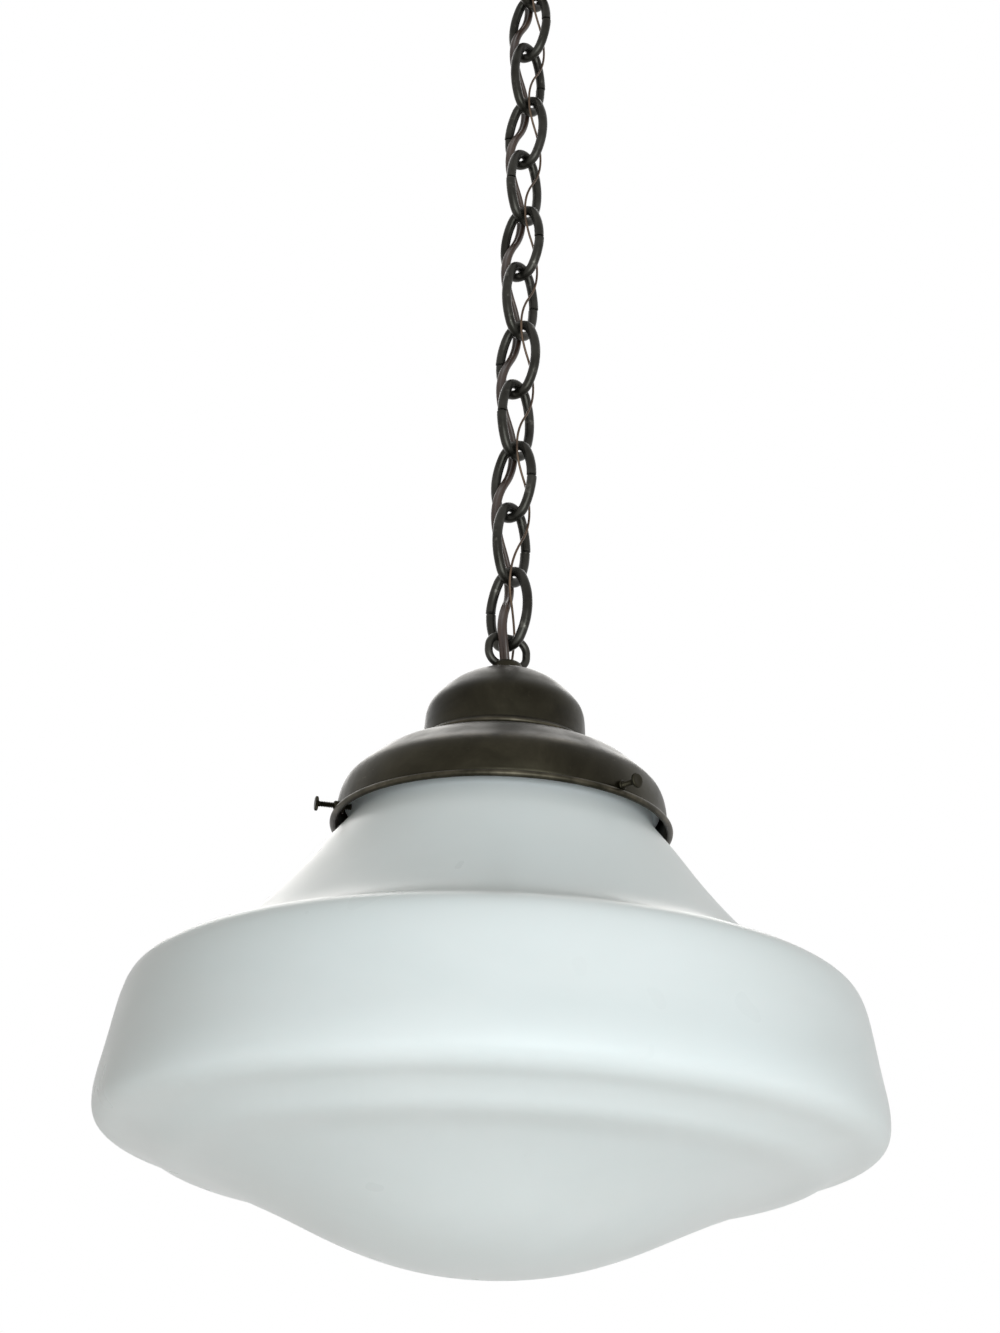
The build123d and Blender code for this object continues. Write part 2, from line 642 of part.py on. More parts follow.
def make_leads():
    """Insulated conductors from each end of the cord to the connectors and to the terminals."""
    half_pair = lead_size / 2.0 + 0.15
    top = Vector(*on_chain(*cord_route[0]))
    nut_low = top.Z + 16.0
    low = Vector(*on_chain(*cord_route[-1]))
    seat = rim + porcelain_top + lead_size / 2.0
    supply = []
    nuts = []
    leads = []
    for side in (-1, 1):
        apart = side * wire_nut_place
        supply.append(tube([(top.X, top.Y + side * half_pair, top.Z), (top.X, top.Y + side * half_pair, top.Z + 5.5),
                            (top.X, apart, top.Z + 13.0), (top.X, apart, nut_low + 4.0)], lead_size))
        nut = Pos(top.X, apart, nut_low + wire_nut_height / 2.0) * Cone(
            wire_nut_width / 2.0, wire_nut_width / 2.0 - 1.6, wire_nut_height)
        nut = fillet(nut.edges().group_by(Axis.Z)[-1], 1.5)
        nuts.append(nut - disc(lead_size + 2.0 * screw_gap, nut_low - 1.0, nut_low + 4.0, (top.X, apart)))
        leads.append(tube([(low.X + side * half_pair, low.Y, low.Z), (low.X + side * half_pair, low.Y, low.Z - 4.0),
                           (side * (terminal_place - 5.5), 2.6, seat), (side * (terminal_place + 1.2), 2.6, seat)],
                          lead_size))
    save("supply_leads", *supply)
    save("wire_nuts", *nuts)
    save("socket_leads", *leads)


os.makedirs("parts", exist_ok=True)
make_mounting_strap()
make_strap_screws()
make_ground_screw()
make_ceiling_pipe()
make_canopy()
make_collar_ring()
make_canopy_loop()
make_chain()
make_shade_holder()
make_screw_bosses()
make_shade_screws()
make_dome_cap()
make_top_loop()
make_lamp_pipe()
make_glass_shade()
make_socket_cap()
make_small_socket_screws()
make_socket_body()
make_socket_screws()
make_terminal_screws()
make_screw_shell()
make_centre_contact()
make_cords()
make_leads()
print("rim height", round(rim, 2), "last link", round(last_link, 2))
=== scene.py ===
import bpy
import bmesh
import math
import numpy as np
from mathutils import Matrix, Vector


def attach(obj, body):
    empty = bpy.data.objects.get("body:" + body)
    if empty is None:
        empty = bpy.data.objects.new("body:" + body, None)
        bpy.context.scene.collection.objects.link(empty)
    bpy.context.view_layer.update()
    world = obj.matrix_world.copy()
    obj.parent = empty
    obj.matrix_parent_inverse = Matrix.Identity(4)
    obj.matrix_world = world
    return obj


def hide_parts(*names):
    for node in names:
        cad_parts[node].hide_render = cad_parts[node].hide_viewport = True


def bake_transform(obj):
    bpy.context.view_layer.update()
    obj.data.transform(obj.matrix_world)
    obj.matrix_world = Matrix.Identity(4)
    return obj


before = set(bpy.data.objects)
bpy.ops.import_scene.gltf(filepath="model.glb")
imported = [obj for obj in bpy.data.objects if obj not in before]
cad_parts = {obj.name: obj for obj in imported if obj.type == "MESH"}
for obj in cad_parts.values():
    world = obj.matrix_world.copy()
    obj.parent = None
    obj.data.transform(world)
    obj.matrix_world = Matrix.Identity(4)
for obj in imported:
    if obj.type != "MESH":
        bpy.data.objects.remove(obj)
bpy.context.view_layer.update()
print("frame loaded:", len(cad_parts), "nodes")

# Schoolhouse pendant light. Shapes are worked out in millimetres and stored in metres.
metre = 0.001
linkCount = 12
linkPitch = 35.7
firstLink = -69.4
chainTurn = math.radians(141.4)
halfLink = 14.0  # half the width of a link
rimHeight = -579.8  # height of the pan's rim under the ceiling
threadRows = 8  # rows of a screw thread to each turn
weldReach = 2e-6  # metres within which points become one


def linkHeight(number):
    return firstLink - (number - 1) * linkPitch


# Camera

cameraPlan = {
    "place": (0.0, -1.0134, -0.9258),
    "heading": -0.0034,
    "pitch": 0.4036,
    "roll": 0.0369,
    "lens": 80.96,
    "sensor": 36.0,
}


def makeCamera():
    plan = cameraPlan
    yaw, pitch, roll = plan["heading"], plan["pitch"], plan["roll"]
    ahead = Vector((math.sin(yaw) * math.cos(pitch), math.cos(yaw) * math.cos(pitch), math.sin(pitch)))
    level = ahead.cross(Vector((0, 0, 1))).normalized()
    above = level.cross(ahead)
    right = level * math.cos(roll) + above * math.sin(roll)
    top = above * math.cos(roll) - level * math.sin(roll)
    data = bpy.data.cameras.new("viewCamera")
    data.sensor_fit = "HORIZONTAL"
    data.sensor_width = plan["sensor"]
    data.lens = plan["lens"]
    data.clip_end = 30.0
    camera = bpy.data.objects.new("viewCamera", data)
    bpy.context.scene.collection.objects.link(camera)
    turn = Matrix((right, top, -ahead)).transposed()
    camera.matrix_world = Matrix.Translation(plan["place"]) @ turn.to_4x4()
    bpy.context.scene.camera = camera


# Mesh helpers: whole arrays, then one call into the mesh

def addPiece(name, grids, closed, sharpAngle, material, body, slotName, *nodes):
    # grids of points[rows, columns, 3] in mm: columns run round, and rows do too where closed is true
    allPoints, allFaces, start = [], [], 0
    for points in grids:
        rows, columns = points.shape[:2]
        index = np.arange(rows * columns).reshape(rows, columns) + start
        here, down = (index, np.roll(index, -1, 0)) if closed else (index[:-1], index[1:])
        nextHere, nextDown = np.roll(here, -1, 1), np.roll(down, -1, 1)
        allFaces.append(np.stack([here, nextHere, nextDown, down], -1).reshape(-1, 4))
        allPoints.append(points.reshape(-1, 3))
        start += rows * columns
    points = np.concatenate(allPoints) * metre
    mesh = bpy.data.meshes.new(name)
    mesh.from_pydata(points.tolist(), [], np.concatenate(allFaces).tolist())
    work = bmesh.new()
    work.from_mesh(mesh)
    bmesh.ops.remove_doubles(work, verts=work.verts, dist=weldReach)
    bmesh.ops.recalc_face_normals(work, faces=work.faces)
    work.to_mesh(mesh)
    work.free()
    mesh.polygons.foreach_set("use_smooth", np.ones(len(mesh.polygons), dtype=bool))
    mesh.set_sharp_from_angle(angle=math.radians(sharpAngle))
    mesh.update()
    mesh.materials.append(material)
    piece = bpy.data.objects.new(name, mesh)
    bpy.context.scene.collection.objects.link(piece)
    # a piece without a body is left unattached
    if body:
        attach(piece, body)
    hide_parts(*nodes)
    return piece


def smoothRun(points, steps):
    # cubic curve through the points: position and slope agree at each of them
    knots = np.array(points, float)
    gap = np.linalg.norm(np.diff(knots, axis=0), axis=1)
    along = np.concatenate([[0.0], np.cumsum(gap)])
    slope = np.gradient(knots, along, axis=0)
    place = np.linspace(0.0, along[-1], steps)
    left = np.clip(np.searchsorted(along, place, side="right") - 1, 0, len(gap) - 1)
    span = gap[left][:, None]
    t = ((place - along[left]) / gap[left])[:, None]
    return ((2 * t**3 - 3 * t**2 + 1) * knots[left] + (t**3 - 2 * t**2 + t) * span * slope[left]
            + (3 * t**2 - 2 * t**3) * knots[left + 1] + (t**3 - t**2) * span * slope[left + 1])


def curveThrough(points, steps):
    # natural cubic curve through the points: the bend, too, runs on evenly past each of them
    knots = np.array(points, float)
    along = np.concatenate([[0.0], np.cumsum(np.linalg.norm(np.diff(knots, axis=0), axis=1))])
    gap = np.diff(along)[:, None]
    slope = np.diff(knots, axis=0) / gap
    count = len(knots)
    table = np.eye(count)
    right = np.zeros((count, 2))
    for row in range(1, count - 1):
        table[row, row - 1:row + 2] = gap[row - 1, 0], 2 * (gap[row - 1, 0] + gap[row, 0]), gap[row, 0]
        right[row] = 6 * (slope[row] - slope[row - 1])
    table[0, 1] = table[-1, -2] = -1.0
    bend = np.linalg.solve(table, right)
    place = np.linspace(0.0, along[-1], steps)
    left = np.clip(np.searchsorted(along, place, side="right") - 1, 0, count - 2)
    span = gap[left]
    before = along[left + 1][:, None] - place[:, None]
    after = place[:, None] - along[left][:, None]
    return ((bend[left] * before**3 + bend[left + 1] * after**3) / (6 * span)
            + (knots[left] / span - bend[left] * span / 6) * before
            + (knots[left + 1] / span - bend[left + 1] * span / 6) * after)


def joined(*runs):
    # profile runs put end to end, with shared end points kept once
    parts = [np.asarray(runs[0], float)]
    for run in runs[1:]:
        parts.append(np.asarray(run, float)[1:])
    return np.concatenate(parts)


def walled(profile, wall):
    # the profile moved square to itself by the wall, to the inside of the piece
    slope = np.gradient(profile, axis=0)
    slope /= np.linalg.norm(slope, axis=1)[:, None]
    return profile + np.stack([slope[:, 1], -slope[:, 0]], 1) * wall


def arcRun(centre, radius, startAngle, endAngle, steps):
    angle = np.radians(np.linspace(startAngle, endAngle, steps))
    return np.stack([centre[0] + radius * np.cos(angle), centre[1] + radius * np.sin(angle)], 1)


def turns(sides):
    return np.linspace(0.0, 2 * math.pi, sides, endpoint=False)


def ringGrid(reach, angle, height):
    return np.stack([reach * np.cos(angle), reach * np.sin(angle), height + 0 * angle], -1)


def turnedGrid(profile, base, sides, ripple=None):
    # surface of revolution of a profile of (radius, height)
    angle = turns(sides)[None, :]
    radius = np.repeat(profile[:, :1], sides, 1)
    height = np.repeat(profile[:, 1:2], sides, 1)
    if ripple is not None:
        radius, height = ripple(radius, height, angle)
    return ringGrid(radius, angle, height + base)


def aimed(grid, origin, axis):
    # grid made about +Z, turned so that +Z points along axis and moved to origin
    axis = np.array(axis, float) / np.linalg.norm(axis)
    helper = np.array([0.0, 0.0, 1.0]) if abs(axis[2]) < 0.9 else np.array([1.0, 0.0, 0.0])
    side = np.cross(helper, axis)
    side /= np.linalg.norm(side)
    other = np.cross(axis, side)
    return grid @ np.stack([side, other, axis]) + np.array(origin, float)


def directions(path):
    tangent = np.gradient(path, axis=0)
    return tangent / np.linalg.norm(tangent, axis=1)[:, None]


def sweptGrid(path, tangent, across, section):
    # section points (u, v) carried along a path: point + u * side + v * (tangent x side)
    across = np.array(across, float)
    side = across - tangent * np.sum(across * tangent, 1)[:, None]
    side /= np.linalg.norm(side, axis=1)[:, None]
    other = np.cross(tangent, side)
    return (path[:, None, :] + side[:, None, :] * section[None, :, :1]
            + other[:, None, :] * section[None, :, 1:2])


def spun(points, turn):
    # points turned about the hanging axis
    cosine, sine = math.cos(turn), math.sin(turn)
    return points @ np.array([[cosine, sine, 0], [-sine, cosine, 0], [0, 0, 1]])


def bentWire(path, radius, sides):
    # round wire along a path that lies in the plane of X and Z
    return sweptGrid(path, directions(path), (0.0, 1.0, 0.0), roundSection(radius, sides))


def closedEnds(grid):
    # adds a ring shrunk to the middle at each end, so that the tube is closed
    first = grid[0].mean(0)[None, None, :] + 0 * grid[:1]
    last = grid[-1].mean(0)[None, None, :] + 0 * grid[-1:]
    return np.concatenate([first, grid, last])


def roundSection(radius, sides):
    angle = turns(sides)
    return np.stack([radius * np.cos(angle), radius * np.sin(angle)], 1)


# Materials

def fill(node, **values):
    # sets a node's inputs, named with _ for each space
    for key, value in values.items():
        node.inputs[key.replace("_", " ")].default_value = value


class Recipe:
    # a material with its shader and a few short ways to add nodes
    def __init__(self, name, roughness, metallic=0.0, **sockets):
        self.material = bpy.data.materials.new(name)
        self.material.use_nodes = True
        self.tree = self.material.node_tree
        self.shader = self.tree.nodes["Principled BSDF"]
        fill(self.shader, Metallic=metallic, Roughness=roughness, **sockets)
        self.place = self.tree.nodes.new("ShaderNodeTexCoord").outputs["Object"]

    def node(self, kind, **values):
        made = self.tree.nodes.new(kind)
        for key, value in values.items():
            setattr(made, key, value)
        return made

    def link(self, source, target):
        self.tree.links.new(source, target)

    def stretched(self, scale, turn=(0.0, 0.0, 0.0)):
        mapping = self.node("ShaderNodeMapping")
        fill(mapping, Scale=scale, Rotation=turn)
        self.link(self.place, mapping.inputs["Vector"])
        return mapping.outputs["Vector"]

    def noise(self, scale, detail=4.0, roughness=0.55, vector=None, distortion=0.0):
        made = self.node("ShaderNodeTexNoise")
        fill(made, Scale=scale, Detail=detail, Roughness=roughness, Distortion=distortion)
        self.link(vector or self.place, made.inputs["Vector"])
        return made.outputs["Fac"]

    def ramp(self, source, *stops):
        made = self.node("ShaderNodeValToRGB")
        elements = made.color_ramp.elements
        elements[0].position, elements[0].color = stops[0][0], (*stops[0][1], 1.0)
        elements[1].position, elements[1].color = stops[-1][0], (*stops[-1][1], 1.0)
        for position, colour in stops[1:-1]:
            elements.new(position).color = (*colour, 1.0)
        self.link(source, made.inputs["Fac"])
        return made.outputs["Color"]

    def level(self, source, low, high, start=0.0, end=1.0):
        made = self.node("ShaderNodeMapRange", clamp=True)
        fill(made, From_Min=low, From_Max=high, To_Min=start, To_Max=end)
        self.link(source, made.inputs["Value"])
        return made.outputs["Result"]

    def math(self, operation, first, second):
        made = self.node("ShaderNodeMath", operation=operation)
        for socket, value in zip(made.inputs, (first, second)):
            if isinstance(value, (int, float)):
                socket.default_value = value
            else:
                self.link(value, socket)
        return made.outputs[0]

    def mix(self, factor, first, second):
        made = self.node("ShaderNodeMix", data_type="RGBA")
        sockets = made.inputs["Factor"], made.inputs[6], made.inputs[7]
        for socket, value in zip(sockets, (factor, first, second)):
            if isinstance(value, tuple):
                socket.default_value = (*value, 1.0)
            elif isinstance(value, (int, float)):
                socket.default_value = value
            else:
                self.link(value, socket)
        return made.outputs[2]

    def height(self):
        split = self.node("ShaderNodeSeparateXYZ")
        self.link(self.place, split.inputs[0])
        return split.outputs["Z"]

    def band(self, low, high, soft):
        # 1 between two heights in metres, with soft edges
        rise = self.level(self.height(), low - soft, low + soft)
        fall = self.level(self.height(), high - soft, high + soft, 1.0, 0.0)
        return self.math("MULTIPLY", rise, fall)

    def colour(self, source):
        self.link(source, self.shader.inputs["Base Color"])

    def rough(self, source):
        self.link(source, self.shader.inputs["Roughness"])

    def bump(self, *layers):
        # layers of (height source, strength, depth in metres)
        last = None
        for source, strength, depth in layers:
            made = self.node("ShaderNodeBump")
            fill(made, Strength=strength, Distance=depth)
            self.link(source, made.inputs["Height"])
            if last:
                self.link(last, made.inputs["Normal"])
            last = made.outputs["Normal"]
        self.link(last, self.shader.inputs["Normal"])


bronzeFinish = {
    "dark": (0.012, 0.010, 0.005),
    "middle": (0.022, 0.019, 0.011),
    "light": (0.040, 0.035, 0.022),
    # the pale colour of the scratches, and of the painted highlight bands
    "scuffAndHighlight": (0.22, 0.19, 0.14),
    "metallic": 0.80,
    "roughness": 0.38,
    "specks": 0.35,  # how far each kind of mark shows
    "scratches": 0.5,
    # the last share is for bands of rubbed wear that also paint highlight lines
    "wearAndHighlight": 0.28,
}


def bronzeMaterial(name, rubAndHighlightBands=(), tone=1.0):
    # oil-dark bronze: mottled patina, fine tooth, stray scratches, and bands of rubbed edge wear that also
    # paint highlight lines
    plan = bronzeFinish
    shade = [tuple(channel * tone for channel in plan[key]) for key in ("dark", "middle", "light")]
    made = Recipe(name, plan["roughness"], plan["metallic"], Specular_IOR_Level=0.35)
    patches = made.noise(26.0, 5.0, 0.6, distortion=0.6)
    base = made.ramp(patches, (0.32, shade[0]), (0.52, shade[1]), (0.75, shade[2]))
    specks = made.level(made.noise(520.0, 3.0, 0.6), 0.62, 0.78)
    base = made.mix(made.math("MULTIPLY", specks, plan["specks"]), base, shade[2])
    scratchA = made.noise(1.0, 2.0, 0.5, made.stretched((35.0, 420.0, 900.0), (0.3, 0.5, 0.2)))
    scratchB = made.noise(1.0, 2.0, 0.5, made.stretched((700.0, 30.0, 520.0), (0.9, 0.1, 1.1)))
    lines = made.math("MAXIMUM", made.level(scratchA, 0.70, 0.78), made.level(scratchB, 0.71, 0.80))
    where = made.level(made.noise(22.0, 2.0), 0.52, 0.68)
    lines = made.math("MULTIPLY", lines, where)
    base = made.mix(made.math("MULTIPLY", lines, plan["scratches"]), base, plan["scuffAndHighlight"])
    # lighter bands at given heights: rubbed wear, and painted highlight lines on the rolled bead, the curled
    # foot and the shoulder
    for low, high, soft in rubAndHighlightBands:
        uneven = made.level(made.noise(95.0, 4.0), 0.36, 0.66)
        rubAndShine = made.math("MULTIPLY", made.band(low, high, soft), uneven)
        base = made.mix(made.math("MULTIPLY", rubAndShine, plan["wearAndHighlight"]), base, plan["scuffAndHighlight"])
    made.colour(base)
    grain = made.noise(1500.0, 2.0, 0.5)
    smooth, dull = plan["roughness"] - 0.07, plan["roughness"] + 0.10
    made.rough(made.level(made.noise(60.0, 4.0), 0.3, 0.7, smooth, dull))
    made.bump((patches, 0.10, 0.0012), (grain, 0.10, 0.00012), (lines, 0.25, 0.00006))
    return made.material


chainFinish = {
    "dark": (0.014, 0.013, 0.010),
    "light": (0.046, 0.044, 0.038),
    "rubbed": (0.20, 0.19, 0.165),
}


def wireMaterial(name):
    # blackened steel wire, drawn lengthwise, rubbed bright in places
    plan = chainFinish
    made = Recipe(name, 0.32, 0.80, Specular_IOR_Level=0.4)
    cloud = made.noise(70.0, 5.0, 0.6)
    base = made.ramp(cloud, (0.30, plan["dark"]), (0.74, plan["light"]))
    rub = made.level(made.noise(190.0, 4.0, 0.6), 0.60, 0.74)
    base = made.mix(made.math("MULTIPLY", rub, 0.45), base, plan["rubbed"])
    made.colour(base)
    made.rough(made.level(cloud, 0.3, 0.7, 0.24, 0.40))
    made.bump((made.noise(330.0, 3.0), 0.35, 0.00020), (made.noise(1400.0, 2.0), 0.20, 0.00005))
    return made.material


glassFinish = {
    "milk": (0.775, 0.820, 0.838),
    "pale": (0.812, 0.852, 0.870),
    "film": (0.70, 0.72, 0.69),
    "filmShare": 0.14,
    "roughness": 0.24,
    "scatter": 0.22,  # share of the light that goes into the glass, and how far it gets
    "scatterReach": (0.010, 0.012, 0.012),
    "scatterScale": 0.6,
}


def opalMaterial():
    # opal glass: milk body with cloudy swirls, a soft gloss and a thin uneven film of dust
    plan = glassFinish
    made = Recipe("opalGlass", plan["roughness"], IOR=1.5, Specular_IOR_Level=0.14)
    fill(made.shader, Subsurface_Weight=plan["scatter"], Subsurface_Radius=plan["scatterReach"],
         Subsurface_Scale=plan["scatterScale"])
    swirl = made.noise(7.0, 4.0, 0.5, made.stretched((1.0, 1.0, 2.6)), 0.8)
    base = made.ramp(swirl, (0.35, plan["milk"]), (0.68, plan["pale"]))
    film = made.level(made.noise(30.0, 1.5, 0.4), 0.15, 0.90)
    base = made.mix(made.math("MULTIPLY", film, plan["filmShare"]), base, plan["film"])
    made.colour(base)
    made.rough(made.level(made.noise(34.0, 1.5), 0.15, 0.90, 0.25, 0.38))
    waves, pores = made.noise(16.0, 2.0, 0.4), made.noise(240.0, 2.0, 0.5)
    made.bump((waves, 0.12, 0.0016), (pores, 0.05, 0.00010))
    return made.material


def porcelainMaterial():
    made = Recipe("glazedPorcelain", 0.16, IOR=1.5, Coat_Weight=0.4, Coat_Roughness=0.05)
    cloud = made.noise(60.0, 4.0, 0.5)
    base = made.ramp(cloud, (0.3, (0.72, 0.69, 0.62)), (0.7, (0.82, 0.80, 0.74)))
    pits = made.level(made.noise(900.0, 2.0), 0.72, 0.80)
    made.colour(made.mix(made.math("MULTIPLY", pits, 0.4), base, (0.35, 0.30, 0.24)))
    made.rough(made.level(cloud, 0.3, 0.7, 0.12, 0.24))
    made.bump((cloud, 0.10, 0.0006), (pits, 0.15, 0.00008))
    return made.material


def plainMetal(name, dark, light, roughness, grainScale):
    # bare or plated metal: cloudy tone, turning lines and small tarnish spots
    made = Recipe(name, roughness, 1.0)
    cloud = made.noise(110.0, 5.0, 0.6)
    lines = made.noise(1.0, 2.0, 0.5, made.stretched(grainScale))
    base = made.ramp(cloud, (0.32, dark), (0.70, light))
    spots = made.level(made.noise(260.0, 3.0), 0.66, 0.76)
    made.colour(made.mix(made.math("MULTIPLY", spots, 0.5), base, tuple(c * 0.35 for c in dark)))
    made.rough(made.level(cloud, 0.3, 0.7, roughness - 0.06, roughness + 0.12))
    made.bump((lines, 0.15, 0.00006), (made.noise(700.0, 2.0), 0.10, 0.00006))
    return made.material


def plasticMaterial(name, dark, light, roughness):
    # moulded or extruded plastic: slight tone drift, fine tooth and handling shine
    made = Recipe(name, roughness)
    cloud = made.noise(80.0, 4.0, 0.6)
    made.colour(made.ramp(cloud, (0.3, dark), (0.7, light)))
    made.rough(made.level(made.noise(150.0, 3.0), 0.3, 0.7, roughness - 0.08, roughness + 0.10))
    made.bump((made.noise(900.0, 2.0), 0.20, 0.00008), (cloud, 0.10, 0.0003))
    return made.material


def cordMaterial():
    # brown cord: satin skin with a bronze sheen and darker handling marks
    made = Recipe("cordSkin", 0.36)
    cloud = made.noise(55.0, 4.0, 0.6)
    base = made.ramp(cloud, (0.28, (0.022, 0.011, 0.008)), (0.55, (0.042, 0.023, 0.015)),
                     (0.80, (0.095, 0.060, 0.038)))
    marks = made.level(made.noise(300.0, 3.0), 0.62, 0.74)
    made.colour(made.mix(made.math("MULTIPLY", marks, 0.5), base, (0.022, 0.014, 0.010)))
    made.rough(made.level(cloud, 0.3, 0.7, 0.30, 0.46))
    made.bump((made.noise(620.0, 2.0), 0.25, 0.00010), (cloud, 0.15, 0.0004))
    return made.material


def bandOfRubAndHighlight(low, high, soft):
    # band of rubbed metal and painted highlight between two heights over the pan's rim, in metres
    return (rimHeight + low) * metre, (rimHeight + high) * metre, soft * metre


def makeMaterials():
    # painted highlight lines, with rubbed wear, on the pan's bead and shoulder and the dome's foot
    bead = bandOfRubAndHighlight(0.0, 3.4, 0.6)
    foot = bandOfRubAndHighlight(41.0, 44.5, 0.8)
    shoulder = bandOfRubAndHighlight(21.0, 24.0, 1.6)
    finish = {
        "pan": bronzeMaterial("panBronze", (bead, shoulder)),
        "dome": bronzeMaterial("domeBronze", (foot,), 0.92),
        "bronze": bronzeMaterial("plainBronze"),
        "wire": wireMaterial("chainSteel"),
        "glass": opalMaterial(),
        "porcelain": porcelainMaterial(),
        "brass": plainMetal("agedBrass", (0.42, 0.28, 0.10), (0.66, 0.48, 0.22), 0.30,
                            (300.0, 300.0, 2200.0)),
        "zinc": plainMetal("zincSteel", (0.36, 0.36, 0.35), (0.56, 0.56, 0.55), 0.36,
                           (900.0, 900.0, 1800.0)),
        "copper": plainMetal("dullCopper", (0.060, 0.042, 0.032), (0.13, 0.090, 0.062), 0.42,
                             (2000.0, 2000.0, 400.0)),
        "green": plasticMaterial("greenLacquer", (0.012, 0.13, 0.045), (0.02, 0.20, 0.07), 0.28),
        "connector": plasticMaterial("connectorPlastic", (0.60, 0.17, 0.015), (0.72, 0.24, 0.03), 0.45),
        "lead": plasticMaterial("leadInsulation", (0.025, 0.024, 0.023), (0.05, 0.048, 0.045), 0.45),
        "cord": cordMaterial(),
    }
    print("materials made:", len(finish))
    return finish


# Cord and ground wire, woven through the chain

def onChain(side, sway, height):
    # point beside the chain: side runs along the lowest link's plane, sway runs across it
    return (side * math.cos(chainTurn) + sway * math.sin(chainTurn),
            side * math.sin(chainTurn) - sway * math.cos(chainTurn), height)


def betweenLinks(weave):
    # corners at the gaps between the links, from side and sway in half link widths
    return [(side * halfLink, sway * halfLink, firstLink - (gap + 0.5) * linkPitch)
            for gap, (side, sway) in enumerate(weave)]


# side and sway of each route where it passes from link to link
cordWeave = [(0.415, 0.857), (0.42, -0.857), (0.41, 0.864), (0.415, -0.85), (0.42, 0.857), (0.41, -0.857),
             (0.415, 0.85), (0.42, -0.864), (0.41, 0.857), (0.415, -0.857), (0.528, 0.857)]
groundWeave = [(-0.43, -0.857), (-0.422, 0.857), (-0.436, -0.864), (-0.43, 0.85), (-0.422, -0.857),
               (-0.436, 0.857), (-0.43, -0.85), (-0.422, 0.864), (-0.436, -0.857), (-0.43, 0.857),
               (-0.486, -0.857)]

# side, sway and height of each corner of the two routes
lastLink = linkHeight(linkCount)
cordRoute = ([(1.1, 0.0, 6.0), (1.1, 0.0, -15.0), (1.1, -0.2, -37.0), (6.6, -11.0, -56.0)]
             + betweenLinks(cordWeave)
             + [(-1.5, -8.0, lastLink - 8.4), (-2.6, -6.2, rimHeight + 93.8), (0.0, -0.4, rimHeight + 80.3),
                (0.1, -1.1, rimHeight + 70.3), (0.2, -0.9, rimHeight + 45.8), (0.2, -0.9, rimHeight + 21.8)])
groundRoute = ([(-1.9, 0.0, -15.0), (-1.9, 0.3, -37.0), (-6.2, 10.8, -56.0)] + betweenLinks(groundWeave)
               + [(1.0, 7.0, lastLink - 9.9), (1.6, 6.0, rimHeight + 93.8), (-0.2, 1.85, rimHeight + 79.3),
                  (-0.3, 2.0, rimHeight + 61.8), (-0.2, 2.1, rimHeight + 42.8)])

# ends of the ground wire at its two screws, along X, Y and Z
groundTop = [(20.0, 2.8, 0.6), (13.5, 2.8, 0.6), (10.5, 2.2, 6.0), (6.2, 0.8, 12.0), (1.6, -1.1, 9.5),
             (1.5, -1.2, -1.0)]
groundLow = [(1.5, 1.5, rimHeight + 24.3), (1.6, 1.6, rimHeight + 19.3), (1.8, 3.6, rimHeight + 15.2),
             (2.1, 7.4, rimHeight + 15.0), (2.3, 9.5, rimHeight + 19.2), (2.3, 8.9, rimHeight + 26.4),
             (2.3, 15.6, rimHeight + 26.4)]

cordPlan = {
    "lobe": 1.36,  # radius of each of the two conductors' skins
    "apart": 1.32,  # half the distance between their middles
    "sides": 28,
    "valley": 0.62,  # how deep the skin dips between the conductors
    "reach": 12.0,  # how far above and below a joint the cord bends with it
    "steps": 14,
}
groundPlan = {"radius": 0.6, "sides": 12, "steps": 12, "across": (0.3, 0.9, 0.2)}


def routeLine(name, points, resolution):
    # points read from a NURBS curve of order 3 with these control points
    curve = bpy.data.curves.new(name, "CURVE")
    curve.dimensions = "3D"
    curve.resolution_u = resolution
    spline = curve.splines.new("NURBS")
    spline.points.add(len(points) - 1)
    flat = np.column_stack([np.array(points) * metre, np.ones(len(points))]).ravel()
    spline.points.foreach_set("co", flat)
    spline.order_u = 3
    spline.use_endpoint_u = True
    holder = bpy.data.objects.new(name, curve)
    bpy.context.scene.collection.objects.link(holder)
    bpy.context.view_layer.update()
    mesh = bpy.data.meshes.new_from_object(holder)
    line = np.empty(len(mesh.vertices) * 3)
    mesh.vertices.foreach_get("co", line)
    bpy.data.objects.remove(holder)
    bpy.data.meshes.remove(mesh)
    return line.reshape(-1, 3) / metre


def twinSection():
    # outline of two round lobes side by side with a shallow valley between them
    plan = cordPlan
    angle = turns(plan["sides"])
    wide = (plan["apart"] + plan["lobe"]) * np.cos(angle)
    off = np.abs(wide) - plan["apart"]
    tall = np.sqrt(np.maximum(plan["lobe"] ** 2 - np.where(off > 0, off, off * plan["valley"]) ** 2, 0.0))
    return np.stack([wide, np.sign(np.sin(angle) + 1e-9) * tall * (np.abs(np.sin(angle)) > 1e-6)], 1)


